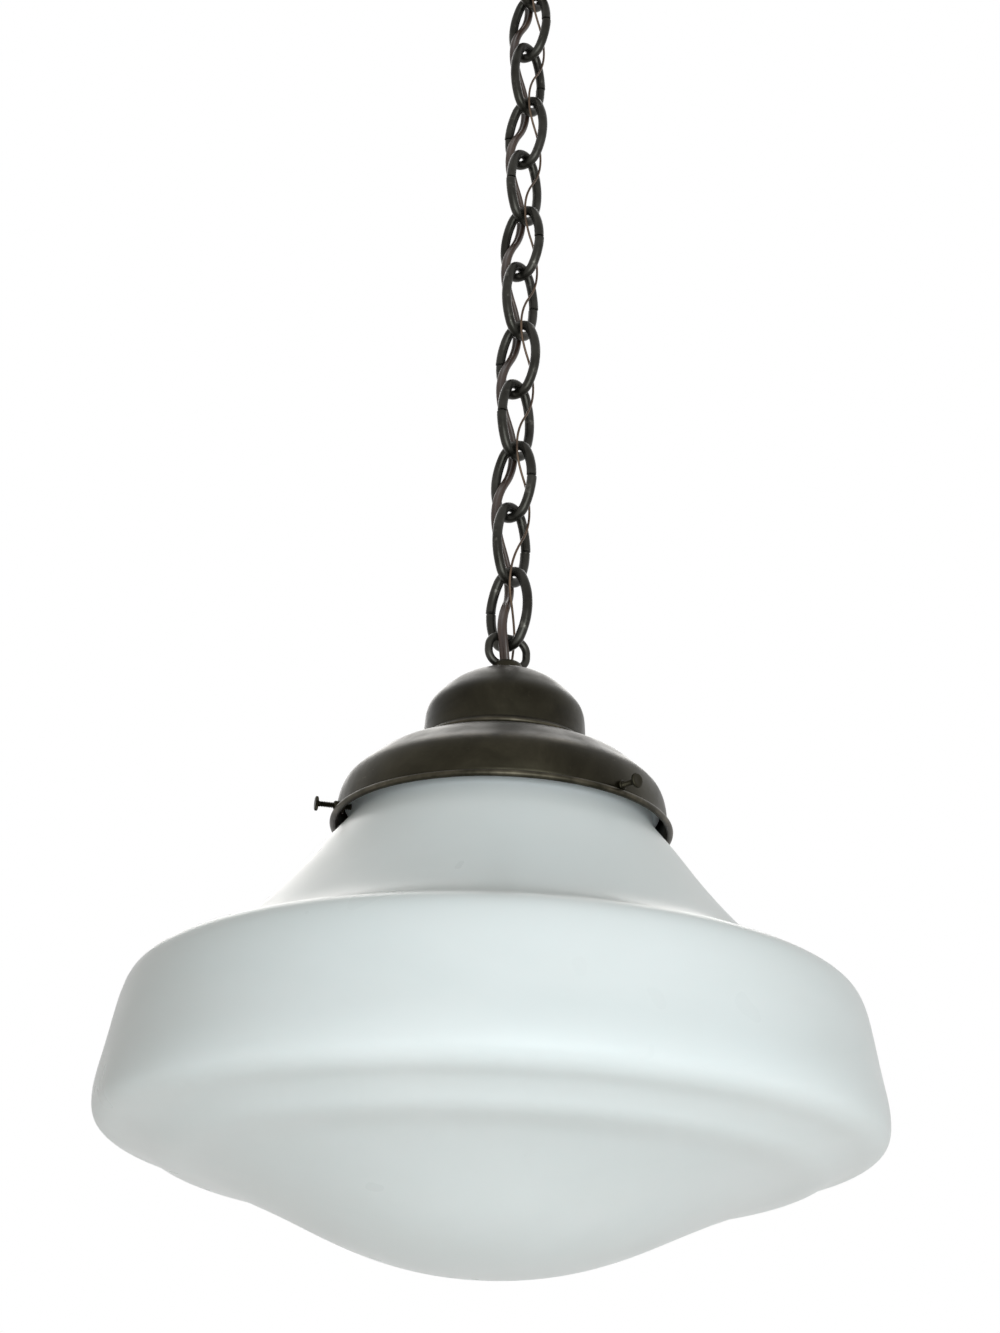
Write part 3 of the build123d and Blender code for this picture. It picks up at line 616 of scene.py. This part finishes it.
def spanPieces(prefix, line, section, across, material, slotName, node):
    # the whole line cut at the middle of each link; each span runs across the one joint inside it
    cuts = [linkHeight(number) for number in range(1, linkCount + 1)]
    tangent = directions(line)
    along = np.arange(len(line))
    middle = (line[:, 2] < cuts[0] + linkPitch) & (line[:, 2] > cuts[-1] - linkPitch)
    order = np.argsort(line[middle, 2])
    depth = np.interp(cuts, line[middle, 2][order], along[middle][order])
    edges = [0.0, *depth, len(line) - 1.0]
    for span in range(linkCount + 1):
        start, end = edges[span], edges[span + 1]
        inside = along[(along > start + 0.2) & (along < end - 0.2)]
        places = np.concatenate([[start], inside, [end]])
        # the whole line's directions make neighbouring spans meet
        path, way = (np.stack([np.interp(places, along, source[:, axis]) for axis in range(3)], 1)
                     for source in (line, tangent))
        grid = sweptGrid(path, way / np.linalg.norm(way, axis=1)[:, None], across, section)
        piece = addPiece(f"{prefix}{span + 1:02d}", [closedEnds(grid)], False, 60.0, material, None,
                         slotName, node)
        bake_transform(piece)


def makeCords(finish):
    along = onChain(1.0, 0.0, 0.0)
    cordLine = routeLine("cordRouteLine", [onChain(*point) for point in cordRoute], cordPlan["steps"])
    spanPieces("cordSpan", cordLine, twinSection(), along, finish["cord"], "cord_brown", "lamp_cord")
    ground = groundTop + [onChain(*point) for point in groundRoute] + groundLow
    groundLine = routeLine("groundRouteLine", ground, groundPlan["steps"])
    section = roundSection(groundPlan["radius"], groundPlan["sides"])
    spanPieces("groundSpan", groundLine, section, groundPlan["across"], finish["copper"], "copper_wire",
               "ground_wire")
    for name, line in (("cord", cordLine), ("ground wire", groundLine)):
        print(name, "length", round(float(np.linalg.norm(np.diff(line, axis=0), axis=1).sum()), 1), "mm")


# Chain links

linkPlan = {
    "wire": 5.0,
    "reach": 20.5,  # middle of the link to the middle of its end wire
    "halfWidth": 11.5,
    "endRadius": 8.5,
    "split": 0.5,
    "step": 0.35,  # how far one cut end stands aside of the other
    "settle": 5.0,  # length of wire in which that step fades
    "cutFace": 0.86,  # share of the wire's width that each flat cut face keeps
    "chamfer": 0.35,
    "sides": 22,
    "rows": 150,
}


def linkPath(splitSide):
    # four tangent arcs, started and ended at the split in one long side
    plan = linkPlan
    centre = plan["reach"] - plan["endRadius"]
    bulge = plan["halfWidth"] - plan["endRadius"]
    sideCentre = (centre**2 - bulge**2) / (2 * bulge)
    sideRadius = plan["halfWidth"] + sideCentre
    lean = math.atan2(centre, sideCentre)
    gap = plan["split"] / 2 / sideRadius
    rows = plan["rows"]
    long = np.linspace(gap, lean, rows // 6)
    end = np.linspace(lean, math.pi - lean, rows // 4)
    back = np.linspace(-lean, lean, rows // 3)
    first = np.stack([sideRadius * np.cos(long) - sideCentre, sideRadius * np.sin(long)], 1)
    top = np.stack([plan["endRadius"] * np.cos(end), centre + plan["endRadius"] * np.sin(end)], 1)
    far = np.stack([sideCentre - sideRadius * np.cos(back), -sideRadius * np.sin(back)], 1)
    flat = joined(first, top, far, top[::-1] * (1, -1), first[::-1] * (1, -1))
    travel = np.concatenate([[0.0], np.cumsum(np.linalg.norm(np.diff(flat, axis=0), axis=1))])
    fromStart = np.exp(-(travel / plan["settle"]) ** 2)
    fromEnd = np.exp(-((travel[-1] - travel) / plan["settle"]) ** 2)
    aside = plan["step"] * 0.5 * (fromStart - fromEnd)
    return np.stack([splitSide * flat[:, 0], aside, flat[:, 1]], 1)


def linkGrid(number):
    plan = linkPlan
    path = linkPath(1 if number % 4 < 2 else -1)
    grid = bentWire(path, plan["wire"] / 2, plan["sides"])
    # cut ends: a small chamfer before the flat face
    faces = []
    for end, within in ((0, 1), (-1, -2)):
        middle = grid[end].mean(0)
        faces.append((middle + (grid[end] - middle) * plan["cutFace"])[None])
        way = path[end] - path[within]
        grid[end] -= way / np.linalg.norm(way) * plan["chamfer"]
    grid = np.concatenate([faces[0], grid, faces[1]])
    turn = chainTurn + math.radians(90.0 * ((linkCount - number) % 2))
    return spun(closedEnds(grid), turn) + np.array([0, 0, linkHeight(number)])


def makeChain(finish):
    for number in range(1, linkCount + 1):
        body = "link_%02d" % number
        addPiece("chainLink%02d" % number, [linkGrid(number)], False, 35.0, finish["wire"], body,
                 "bronze_wire", body)
    print("chain made:", linkCount, "links")


# Glass shade

glassPlan = {
    "wall": 3.0,
    "neck": 72.2,
    "lip": 75.4,
    "lipLow": 8.0,
    "lipTop": 15.0,
    "drum": 178.0,
    "sides": 256,
    "waver": 0.18,  # hand-blown unevenness
}


def glassProfile():
    plan = glassPlan
    neck, drum = plan["neck"], plan["drum"]

    def at(share, height):
        return neck + share * (drum - neck), height

    def under(share, height):
        return share * drum, height

    side = curveThrough([(neck, plan["lipLow"]), (neck + 0.2, 3.0), at(0.042, -4.0), at(0.095, -10.8),
                         at(0.202, -26.0), at(0.33, -43.0), at(0.466, -58.6), at(0.56, -67.2),
                         at(0.679, -73.3), at(0.811, -77.4), at(0.882, -82.2), at(0.920, -90.6),
                         at(0.949, -104.8), under(0.988, -122.0), (drum, -138.5), under(0.992, -145.0),
                         under(0.958, -150.1), under(0.918, -152.5), under(0.888, -154.8),
                         under(0.848, -158.8)], 220)
    bowl = curveThrough([under(0.848, -158.8), under(0.812, -161.7), under(0.77, -163.5),
                         under(0.73, -165.3), under(0.691, -167.7), under(0.607, -173.6),
                         under(0.517, -180.6), under(0.404, -189.7), under(0.27, -198.2),
                         under(0.135, -203.1), (0.0, -204.4)], 120)
    outer = joined(side, bowl)
    outer[-1, 0] = 0.0
    inner = walled(outer, plan["wall"])[::-1]
    inner[0] = (0.0, outer[-1, 1] + plan["wall"])
    inner[-1] = (neck - plan["wall"], plan["lipLow"])
    lip = smoothRun([inner[-1], (neck - plan["wall"], plan["lipTop"] - 2.4), (neck - 0.8, plan["lipTop"]),
                     (plan["lip"], (plan["lipLow"] + plan["lipTop"]) / 2), outer[0]], 26)
    return joined(outer[::-1], lip[::-1], inner[::-1])


def glassWaver(radius, height, angle):
    # a few slow waves round the glass, none at the axis
    wave = np.sin(3 * angle + height * 0.02) + 0.6 * np.sin(5 * angle - height * 0.05)
    return radius + glassPlan["waver"] * wave * np.clip(radius / 150.0, 0, 1), height


def makeGlass(finish):
    grid = turnedGrid(glassProfile(), rimHeight, glassPlan["sides"], glassWaver)
    addPiece("opalShade", [grid], False, 50.0, finish["glass"], "lamp", "opal_glass", "glass_shade")
    print("glass shade made")


# Pan, dome and eye

panPlan = {
    "bead": 1.6,
    "beadCentre": 79.9,
    "wall": 79.0,
    "sheet": 1.2,
    "top": 41.2,
    "foot": 42.2,
    "hole": 5.25,
    "sides": 200,
}


def panProfile():
    # rolled bead, narrow groove, upright wall, shoulder and flat top, then back along the inside
    plan = panPlan
    wall, foot = plan["wall"], plan["foot"]
    bead = arcRun((plan["beadCentre"], plan["bead"]), plan["bead"], -170, 112, 26)
    groove = smoothRun([bead[-1], (wall - 0.6, 3.4), (wall - 0.4, 4.4)], 8)
    span = wall - foot
    side = smoothRun([groove[-1], (wall - 0.5, 9.2), (foot + 0.902 * span, 20.1),
                      (foot + 0.712 * span, 27.0), (foot + 0.527 * span, 32.7), (foot + 0.217 * span, 38.1),
                      (foot - 1.0, plan["top"])], 90)
    inside = walled(side, -plan["sheet"])[::-1]
    lid = np.array([(plan["hole"], plan["top"]), (plan["hole"], plan["top"] - plan["sheet"])])
    inside[0] = (inside[0, 0], plan["top"] - plan["sheet"])
    skirt = np.array([(wall - 1.65, 3.2), (bead[0, 0], bead[0, 1])])
    return joined(bead, groove, side, [side[-1], lid[0]], lid, [lid[-1], inside[0]], inside,
                  [inside[-1], skirt[0]], skirt)


domePlan = {
    "foot": 42.2,
    "wall": 39.0,
    "low": 41.2,
    "top": 81.4,
    "sheet": 1.0,
    "hole": 6.6,
    "hub": 7.5,
    "sides": 160,
}


def domeProfile():
    # curled foot, crease, deep wall and rounded crown
    plan = domePlan
    foot, wall, low, top = plan["foot"], plan["wall"], plan["low"], plan["top"]
    curl = smoothRun([(foot - 2.6, low), (foot - 0.5, low + 0.5), (foot, low + 1.7), (foot - 1.2, low + 3.1),
                      (foot - 3.1, low + 4.6)], 24)
    crease = np.array([curl[-1], (wall + 0.1, low + 5.3)])
    crown, rise = plan["hub"] + 1.0, top - low

    def at(share, part):
        return crown + share * (wall - crown), low + part * rise

    side = smoothRun([crease[-1], (wall, low + 7.5), at(0.997, 0.299), at(0.948, 0.535), at(0.774, 0.711),
                      at(0.551, 0.861), at(0.259, 0.978), (crown, top)], 90)
    outer = joined(curl, crease, side)
    inner = walled(outer, -plan["sheet"])[::-1]
    inner[0] = (crown, top - plan["sheet"])
    inner[-1] = (curl[0, 0] - 2 * plan["sheet"], low)
    rim = np.array([(plan["hole"], top), (plan["hole"], top - plan["sheet"])])
    return joined(outer, [outer[-1], rim[0]], rim, [rim[-1], inner[0]], inner, [inner[-1], outer[0]])


def makePanAndDome(finish):
    pan = turnedGrid(panProfile()[:-1], rimHeight, panPlan["sides"])
    addPiece("shadePan", [pan], True, 38.0, finish["pan"], "lamp", "bronze_metal", "shade_holder")
    dome = turnedGrid(domeProfile()[:-1], rimHeight, domePlan["sides"])
    addPiece("domeCap", [dome], True, 38.0, finish["dome"], "lamp", "bronze_metal", "dome_cap")
    print("pan and dome made")


eyePlan = {
    "wire": 4.0,
    "width": 25.0,
    "crown": 102.0,
    "turn": math.radians(28.0),
    "corner": 6.4,
    "hubWidth": 15.0,
    "hubLow": 81.4,
    "hubHigh": 88.2,
    "spigot": 6.5,
    "bore": 5.25,
    "sides": 72,
}


def loopPath(half, end, crown, corner):
    # half a squared loop mirrored: from the hub out, round a corner, up the leg, round and across the crown
    way = corner if crown > end else -corner
    run = np.linspace(0, math.pi / 2, 14)
    foot = np.stack([-(half - corner) - corner * np.sin(run), end + way * (1 - np.cos(run))], 1)
    head = np.stack([-half + corner * (1 - np.cos(run)), crown - way + way * np.sin(run)], 1)
    start = np.stack([np.linspace(-half * 0.08, foot[0, 0], 5), np.full(5, end)], 1)
    leg = np.stack([np.full(6, -half), np.linspace(foot[-1, 1], head[0, 1], 6)], 1)
    across = np.stack([np.linspace(head[-1, 0], 0.0, 6), np.full(6, crown)], 1)
    left = joined(start, foot, leg, head, across)
    whole = joined(left, left[::-1] * (-1, 1))
    return np.stack([whole[:, 0], np.zeros(len(whole)), whole[:, 1]], 1)


def loopGrid(half, end, crown, corner, wire, turn):
    grid = bentWire(loopPath(half, end, crown, corner), wire / 2, linkPlan["sides"])
    return spun(closedEnds(grid), turn)


def makeEye(finish):
    plan = eyePlan
    half = (plan["width"] - plan["wire"]) / 2
    end = plan["hubHigh"] - plan["wire"] * 0.2
    ring = loopGrid(half, rimHeight + end, rimHeight + plan["crown"], plan["corner"], plan["wire"],
                    plan["turn"])
    # the loop's feet stop at the hub's bore
    ring = ring[1:-1]
    keep = np.hypot(ring[..., 0], ring[..., 1]).mean(1) > plan["bore"] - 0.4
    loop = closedEnds(ring[keep])
    addPiece("eyeLoop", [loop], False, 50.0, finish["wire"], "lamp", "bronze_wire", "top_loop")
    wide, low, high = plan["hubWidth"] / 2, plan["hubLow"], plan["hubHigh"]
    bore, spigot = plan["bore"], plan["spigot"] - 0.1
    outline = [(bore, low - 6.0), (spigot, low - 6.0), (spigot, low), (wide - 0.6, low), (wide, low + 0.7),
               (wide, high - 1.6), (wide - 0.6, high - 0.5), (wide - 1.3, high), (bore + 1.0, high - 1.2),
               (bore, high - 2.4)]
    hub = turnedGrid(np.array(outline), rimHeight, plan["sides"])
    addPiece("eyeHub", [hub], True, 35.0, finish["bronze"], "lamp", "bronze_metal", "top_loop")
    print("eye made")


# Thumb screws and their bosses

screwPlan = {
    "count": 3,
    "turn": -47.5,
    "height": 5.6,
    "shank": 1.5,
    "pitch": 0.8,
    "tip": 72.5,
    "neck": 88.2,
    "reach": 89.8,
    "head": 3.3,
    "knurls": 36,
    "bossOuter": 2.3,
    "bossFlange": 1.2,
    "bossStart": 76.0,
    "bossEnd": 80.8,
}


def threadedGrid(low, high, radius, pitch, sides, depth):
    # radius falls and rises as a wave of the height over the pitch less the turn: one helical ridge
    rows = int((high - low) / pitch * threadRows)
    height = np.linspace(low, high, rows)[:, None]
    angle = turns(sides)[None, :]
    wave = np.abs(((height / pitch - angle / (2 * math.pi)) % 1.0) * 2 - 1)
    fade = np.clip(np.minimum(height - low, high - height) / pitch, 0, 1)
    reach = radius - depth * pitch * wave * fade
    return ringGrid(reach, angle, height)


def knurledHead(low, high, radius, knurls):
    # disc with a milled edge and softened rims
    profile = np.array([(0.0, low), (radius * 0.45, low), (radius - 0.35, low + 0.05), (radius, low + 0.35),
                        (radius, high - 0.35), (radius - 0.35, high - 0.05), (radius * 0.7, high),
                        (radius * 0.35, high - 0.18), (0.0, high - 0.2)])

    def mill(reach, height, angle):
        edge = (reach > radius - 0.2).astype(float)
        return reach + edge * 0.12 * np.cos(knurls * angle), height

    return turnedGrid(profile, 0.0, knurls * 4, mill)


def makeThumbScrews(finish):
    plan = screwPlan
    for index in range(plan["count"]):
        turn = math.radians(plan["turn"] + 360.0 / plan["count"] * index)
        axis = (math.cos(turn), math.sin(turn), 0.0)
        origin = (0.0, 0.0, rimHeight + plan["height"])
        shank = closedEnds(threadedGrid(plan["tip"], plan["neck"], plan["shank"], plan["pitch"], 24, 0.62))
        head = knurledHead(plan["neck"], plan["reach"], plan["head"], plan["knurls"])
        body = "shade_screw_%d" % (index + 1)
        grids = [aimed(grid, origin, axis) for grid in (shank, head)]
        addPiece("thumbScrew%d" % (index + 1), grids, False, 40.0, finish["bronze"], body,
                 "bronze_metal", body)
        outer, bore = plan["bossOuter"], plan["shank"] + 0.05
        start, end = plan["bossStart"], plan["bossEnd"]
        flange = outer + plan["bossFlange"]
        ring = np.array([(bore, start), (flange, start), (flange, start + 0.8), (outer, start + 1.0),
                         (outer, end - 0.5), (outer - 0.4, end), (bore, end)])
        boss = aimed(turnedGrid(ring, 0.0, 40), origin, axis)
        addPiece("screwBoss%d" % (index + 1), [boss], True, 35.0, finish["bronze"], "lamp", "bronze_metal",
                 "screw_bosses")
    print("thumb screws made:", plan["count"])


# Ceiling side

canopyPlan = {
    "rim": 63.5,
    "crown": 17.0,
    "depth": 29.0,
    "sheet": 1.2,
    "hole": 12.3,
    "sides": 200,
    "collar": 18.0,
    "collarHeight": 5.0,
    "barrel": 12.0,
    "barrelTop": -23.0,
    "barrelLow": -37.0,
    "bore": 4.4,
    "pipeRoom": 5.25,
    "throat": 7.4,  # radius at which the barrel's rounded mouth starts, and of the loop's corners
    "mouth": 3.0,  # rounding of the barrel's mouth
    "loopWire": 4.6,
    "loopWidth": 25.6,
    "loopLow": -54.0,
}


def canopyProfile():
    plan = canopyPlan
    rim, deep = plan["rim"], plan["depth"]
    side = smoothRun([(rim, 0.0), (rim - 1.2, -4.5), (rim * 0.885, -deep * 0.42), (rim * 0.66, -deep * 0.64),
                      (rim * 0.42, -deep * 0.84), (plan["crown"], -deep)], 80)
    inside = walled(side, plan["sheet"])[::-1]
    inside[0] = (plan["crown"], plan["sheet"] - deep)
    inside[-1] = (rim - plan["sheet"], 0.0)
    hole = np.array([(plan["hole"], -deep), (plan["hole"], plan["sheet"] - deep)])
    return joined(side, [side[-1], hole[0]], hole, [hole[-1], inside[0]], inside, [inside[-1], side[0]])


def makeCeilingSide(finish):
    plan = canopyPlan
    canopy = turnedGrid(canopyProfile()[:-1], 0.0, plan["sides"])
    addPiece("ceilingCanopy", [canopy], True, 38.0, finish["bronze"], "ceiling_mount", "bronze_metal",
             "canopy")
    top, low = -plan["depth"], -plan["depth"] - plan["collarHeight"]
    collar, barrel = plan["collar"], plan["barrel"]
    inside, edge = barrel + 0.1, collar - 2.4
    ring = joined([(inside, top), (collar - 0.4, top), (collar, top - 0.4), (collar, low + 2.2)],
                  arcRun((edge, low + 2.4), 2.4, 0, -90, 12), [(edge, low), (inside, low)])

    def grip(reach, height, angle):
        outside = np.clip((reach - collar + 1.2) / 1.2, 0, 1)
        return reach - outside * 0.7 * np.clip(np.cos(12 * angle) * 3 - 2, 0, 1), height

    nut = turnedGrid(ring, 0.0, 240, grip)
    addPiece("collarNut", [nut], True, 35.0, finish["bronze"], "ceiling_mount", "bronze_metal", "collar_ring")
    high, end, bore = plan["barrelTop"], plan["barrelLow"], plan["bore"]
    mouth, throat, room = plan["mouth"], plan["throat"], plan["pipeRoom"]
    outside = threadedGrid(low - 0.2, high, barrel, 1.4, 96, 0.5)[::-1]
    skin = joined([(barrel, low - 0.4), (barrel, end + mouth)],
                  arcRun((barrel - mouth, end + mouth), mouth, 0, -90, 10),
                  [(barrel - mouth, end), (throat, end)],
                  arcRun((throat, end + mouth), mouth, -90, -180, 10),
                  [(bore, end + mouth), (bore, high - 6.0), (room, high - 6.0), (room, high)])
    skin = np.concatenate([outside, turnedGrid(skin, 0.0, 96)])
    addPiece("ceilingBarrel", [skin], True, 35.0, finish["bronze"], "ceiling_mount", "bronze_metal",
             "canopy_loop")
    half = (plan["loopWidth"] - plan["loopWire"]) / 2
    wire = plan["loopWire"]
    loop = loopGrid(half, end + wire * 0.4, plan["loopLow"], throat, wire, chainTurn)
    # the loop's feet stop at the barrel's mouth
    loop = closedEnds(loop[np.hypot(loop[..., 0], loop[..., 1]).mean(1) > throat + 0.2])
    addPiece("ceilingEye", [loop], False, 50.0, finish["wire"], "ceiling_mount", "bronze_wire", "canopy_loop")
    print("ceiling side made")


wireNutPlan = {
    "low": 22.0,
    "height": 18.0,
    "base": 6.0,
    "tip": 4.4,
    "place": 9.6,
    "x": -0.86,
    "ribs": 14,
    "hole": 0.95,
}


def makeWireNuts(finish):
    plan = wireNutPlan
    low, high, base, tip = plan["low"], plan["low"] + plan["height"], plan["base"], plan["tip"]
    hole, waist, crown = plan["hole"], (base - 0.6, low + 3.6), (tip, high - 2.0)
    profile = joined([(0.0, low + 4.0), (hole, low + 4.0), (hole, low), (base - 0.4, low), (base, low + 0.5),
                      (base - 0.1, low + 3.0), waist],
                     smoothRun([waist, (base - 1.0, low + 10.0), crown], 12),
                     smoothRun([crown, (tip - 0.5, high - 0.6), (tip - 1.6, high), (0.0, high)], 12))

    def ribs(reach, height, angle):
        # grooves in the side, faded out at its foot and at its crown
        zone = np.clip(height - low - 3.2, 0, 1) * np.clip((high - 1.4 - height) / 1.2, 0, 1) * (reach > 2.5)
        return reach - zone * 0.35 * (np.cos(plan["ribs"] * angle) > 0.2), height

    for name, side in (("wireNutFront", -1), ("wireNutBack", 1)):
        grid = turnedGrid(profile, 0.0, plan["ribs"] * 10, ribs)
        grid = grid + np.array([plan["x"], side * plan["place"], 0.0])
        addPiece(name, [grid], False, 35.0, finish["connector"], "ceiling_mount", "connector", "wire_nuts")
    print("wire nuts made")


pipePlan = {
    "outer": 5.15,
    "bore": 3.4,
    "pitch": 0.94,
    "sides": 48,
    "ceiling": (-29.0, 5.0),
    "lamp": (rimHeight + 24.0, rimHeight + 83.2),
}


def pipePiece(name, low, high, material, body, node):
    plan = pipePlan
    outside = threadedGrid(low, high, plan["outer"], plan["pitch"], plan["sides"], 0.5)
    inside = turnedGrid(np.array([(plan["bore"], high), (plan["bore"], low)]), 0.0, plan["sides"])
    addPiece(name, [np.concatenate([outside, inside])], True, 35.0, material, body, "zinc_steel", node)


def makePipes(finish):
    pipePiece("ceilingPipe", *pipePlan["ceiling"], finish["zinc"], "ceiling_mount", "canopy_nipple")
    pipePiece("lampPipe", *pipePlan["lamp"], finish["zinc"], "lamp", "lamp_nipple")
    print("threaded tubes made")


shellPlan = {
    "bore": 13.2,
    "sheet": 0.5,
    "relief": 0.45,  # how far the thread's valleys stand outside the bore
    "low": -26.0,
    "depth": 20.5,
    "pitch": 3.63,
    "wave": 0.55,
    "hole": 7.0,
    "rows": 90,
    "sides": 120,
}


def makeShell(finish):
    # rolled lamp thread: both faces of the sheet follow one wave of the height less the turn
    plan = shellPlan
    low, top = plan["low"], plan["low"] + plan["depth"]
    sheet, sides = plan["sheet"], plan["sides"]
    height = np.linspace(low, top, plan["rows"])[:, None]
    angle = turns(sides)[None, :]
    fade = np.clip(np.minimum(height - low - 1.5, top - 1.0 - height) / 2.0, 0, 1)
    wave = plan["wave"] * 0.5 * (np.cos(2 * math.pi * (height / plan["pitch"]) - angle) - 1) * fade
    inner, outer = (ringGrid(plan["bore"] + out + wave, angle, height) for out in (plan["relief"], sheet))
    floor = turnedGrid(np.array([(plan["hole"], top), (plan["hole"], top + sheet)]), 0.0, sides)
    upper = turnedGrid(np.array([(plan["bore"] + 0.4, top + sheet)]), 0.0, sides)
    grid = np.concatenate([inner, floor, upper, outer[::-1]])
    grid[..., 2] += rimHeight
    addPiece("lampShell", [grid], True, 40.0, finish["brass"], "lamp", "brass", "screw_shell")
    print("lamp shell made")


def finishNodes(finish):
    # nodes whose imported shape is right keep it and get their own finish
    plan = {
        "zinc": ["mounting_strap", "strap_screws", "nipple_locknuts", "lock_washer", "lamp_locknut",
                 "cap_set_screw", "socket_screws"],
        "green": ["ground_screw", "cap_ground_screw"],
        "brass": ["socket_cap", "terminal_screws", "centre_contact"],
        "porcelain": ["socket_body"],
        "lead": ["supply_leads", "socket_leads", "cord_bushing"],
    }
    for key, names in plan.items():
        for name in names:
            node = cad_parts[name]
            if not node.material_slots:
                node.data.materials.append(finish[key])
            for slot in node.material_slots:
                slot.material = finish[key]
    print("nodes finished:", sum(len(names) for names in plan.values()))


# Room and light

lightPlan = {
    "front": {"place": (0.45, -2.15, -1.12), "aim": (0.0, 0.0, -0.70), "size": 1.8, "power": 43.0,
              "colour": (0.91, 0.985, 1.0)},
    "back": {"place": (-0.3, 2.6, 1.60), "aim": (0.0, 0.0, -0.70), "size": 2.8, "power": 40.0,
             "colour": (1.0, 0.98, 0.95)},
    "floorWash": {"place": (0.0, 0.0, -1.90), "aim": (0.0, 0.01, -2.60), "size": 4.6, "power": 11.0,
                  "colour": (1.0, 0.99, 0.97)},
}
roomPlan = {
    "world": 0.23,
    "worldColour": (1.0, 0.97, 0.85),
    "floor": -2.60,
    "floorRadius": 2.4,
    "floorSides": 96,
    "floorColour": (0.82, 0.82, 0.81),
    "floorPale": (0.85, 0.85, 0.84),
}


def makeLights():
    for name, plan in lightPlan.items():
        data = bpy.data.lights.new(name + "Light", "AREA")
        data.shape = "DISK"
        data.size = plan["size"]
        data.energy = plan["power"]
        data.color = plan["colour"]
        lamp = bpy.data.objects.new(name + "Light", data)
        lamp.visible_camera = False
        bpy.context.scene.collection.objects.link(lamp)
        aim = Vector(plan["aim"]) - Vector(plan["place"])
        turn = aim.to_track_quat("-Z", "Y").to_matrix().to_4x4()
        lamp.matrix_world = Matrix.Translation(plan["place"]) @ turn


def seenDirectly(tree):
    # 1 for camera, mirror and see-through rays, 0 for the rays that light the object
    path = tree.nodes.new("ShaderNodeLightPath").outputs
    result = path["Is Camera Ray"]
    for kind in ("Is Glossy Ray", "Is Transmission Ray"):
        larger = tree.nodes.new("ShaderNodeMath")
        larger.operation = "MAXIMUM"
        tree.links.new(result, larger.inputs[0])
        tree.links.new(path[kind], larger.inputs[1])
        result = larger.outputs[0]
    return result


def makeRoom():
    world = bpy.data.worlds.new("studioWorld")
    bpy.context.scene.world = world
    world.use_nodes = True
    tree = world.node_tree
    background = tree.nodes["Background"]
    direct = seenDirectly(tree)
    strength = tree.nodes.new("ShaderNodeMapRange")
    fill(strength, To_Min=roomPlan["world"], To_Max=1.0)
    tree.links.new(direct, strength.inputs["Value"])
    tree.links.new(strength.outputs["Result"], background.inputs["Strength"])
    tint = tree.nodes.new("ShaderNodeMix")
    tint.data_type = "RGBA"
    tint.inputs[6].default_value = (*roomPlan["worldColour"], 1.0)
    tint.inputs[7].default_value = (1.0, 1.0, 1.0, 1.0)
    tree.links.new(direct, tint.inputs["Factor"])
    tree.links.new(tint.outputs[2], background.inputs["Color"])
    corners = [(x, y, roomPlan["floor"]) for x, y in
               roundSection(roomPlan["floorRadius"], roomPlan["floorSides"]).tolist()]
    mesh = bpy.data.meshes.new("studioFloor")
    mesh.from_pydata(corners, [], [list(range(len(corners)))])
    floor = bpy.data.objects.new("studioFloor", mesh)
    bpy.context.scene.collection.objects.link(floor)
    made = Recipe("floorPaint", 0.85)
    made.colour(made.ramp(made.noise(2.0, 3.0), (0.3, roomPlan["floorColour"]), (0.7, roomPlan["floorPale"])))
    mesh.materials.append(made.material)


makeCamera()
finish = makeMaterials()
makeCords(finish)
makeChain(finish)
makeGlass(finish)
makePanAndDome(finish)
makeEye(finish)
makeThumbScrews(finish)
makeCeilingSide(finish)
makeWireNuts(finish)
makePipes(finish)
makeShell(finish)
finishNodes(finish)
makeLights()
makeRoom()
bpy.context.scene.view_settings.view_transform = "Standard"
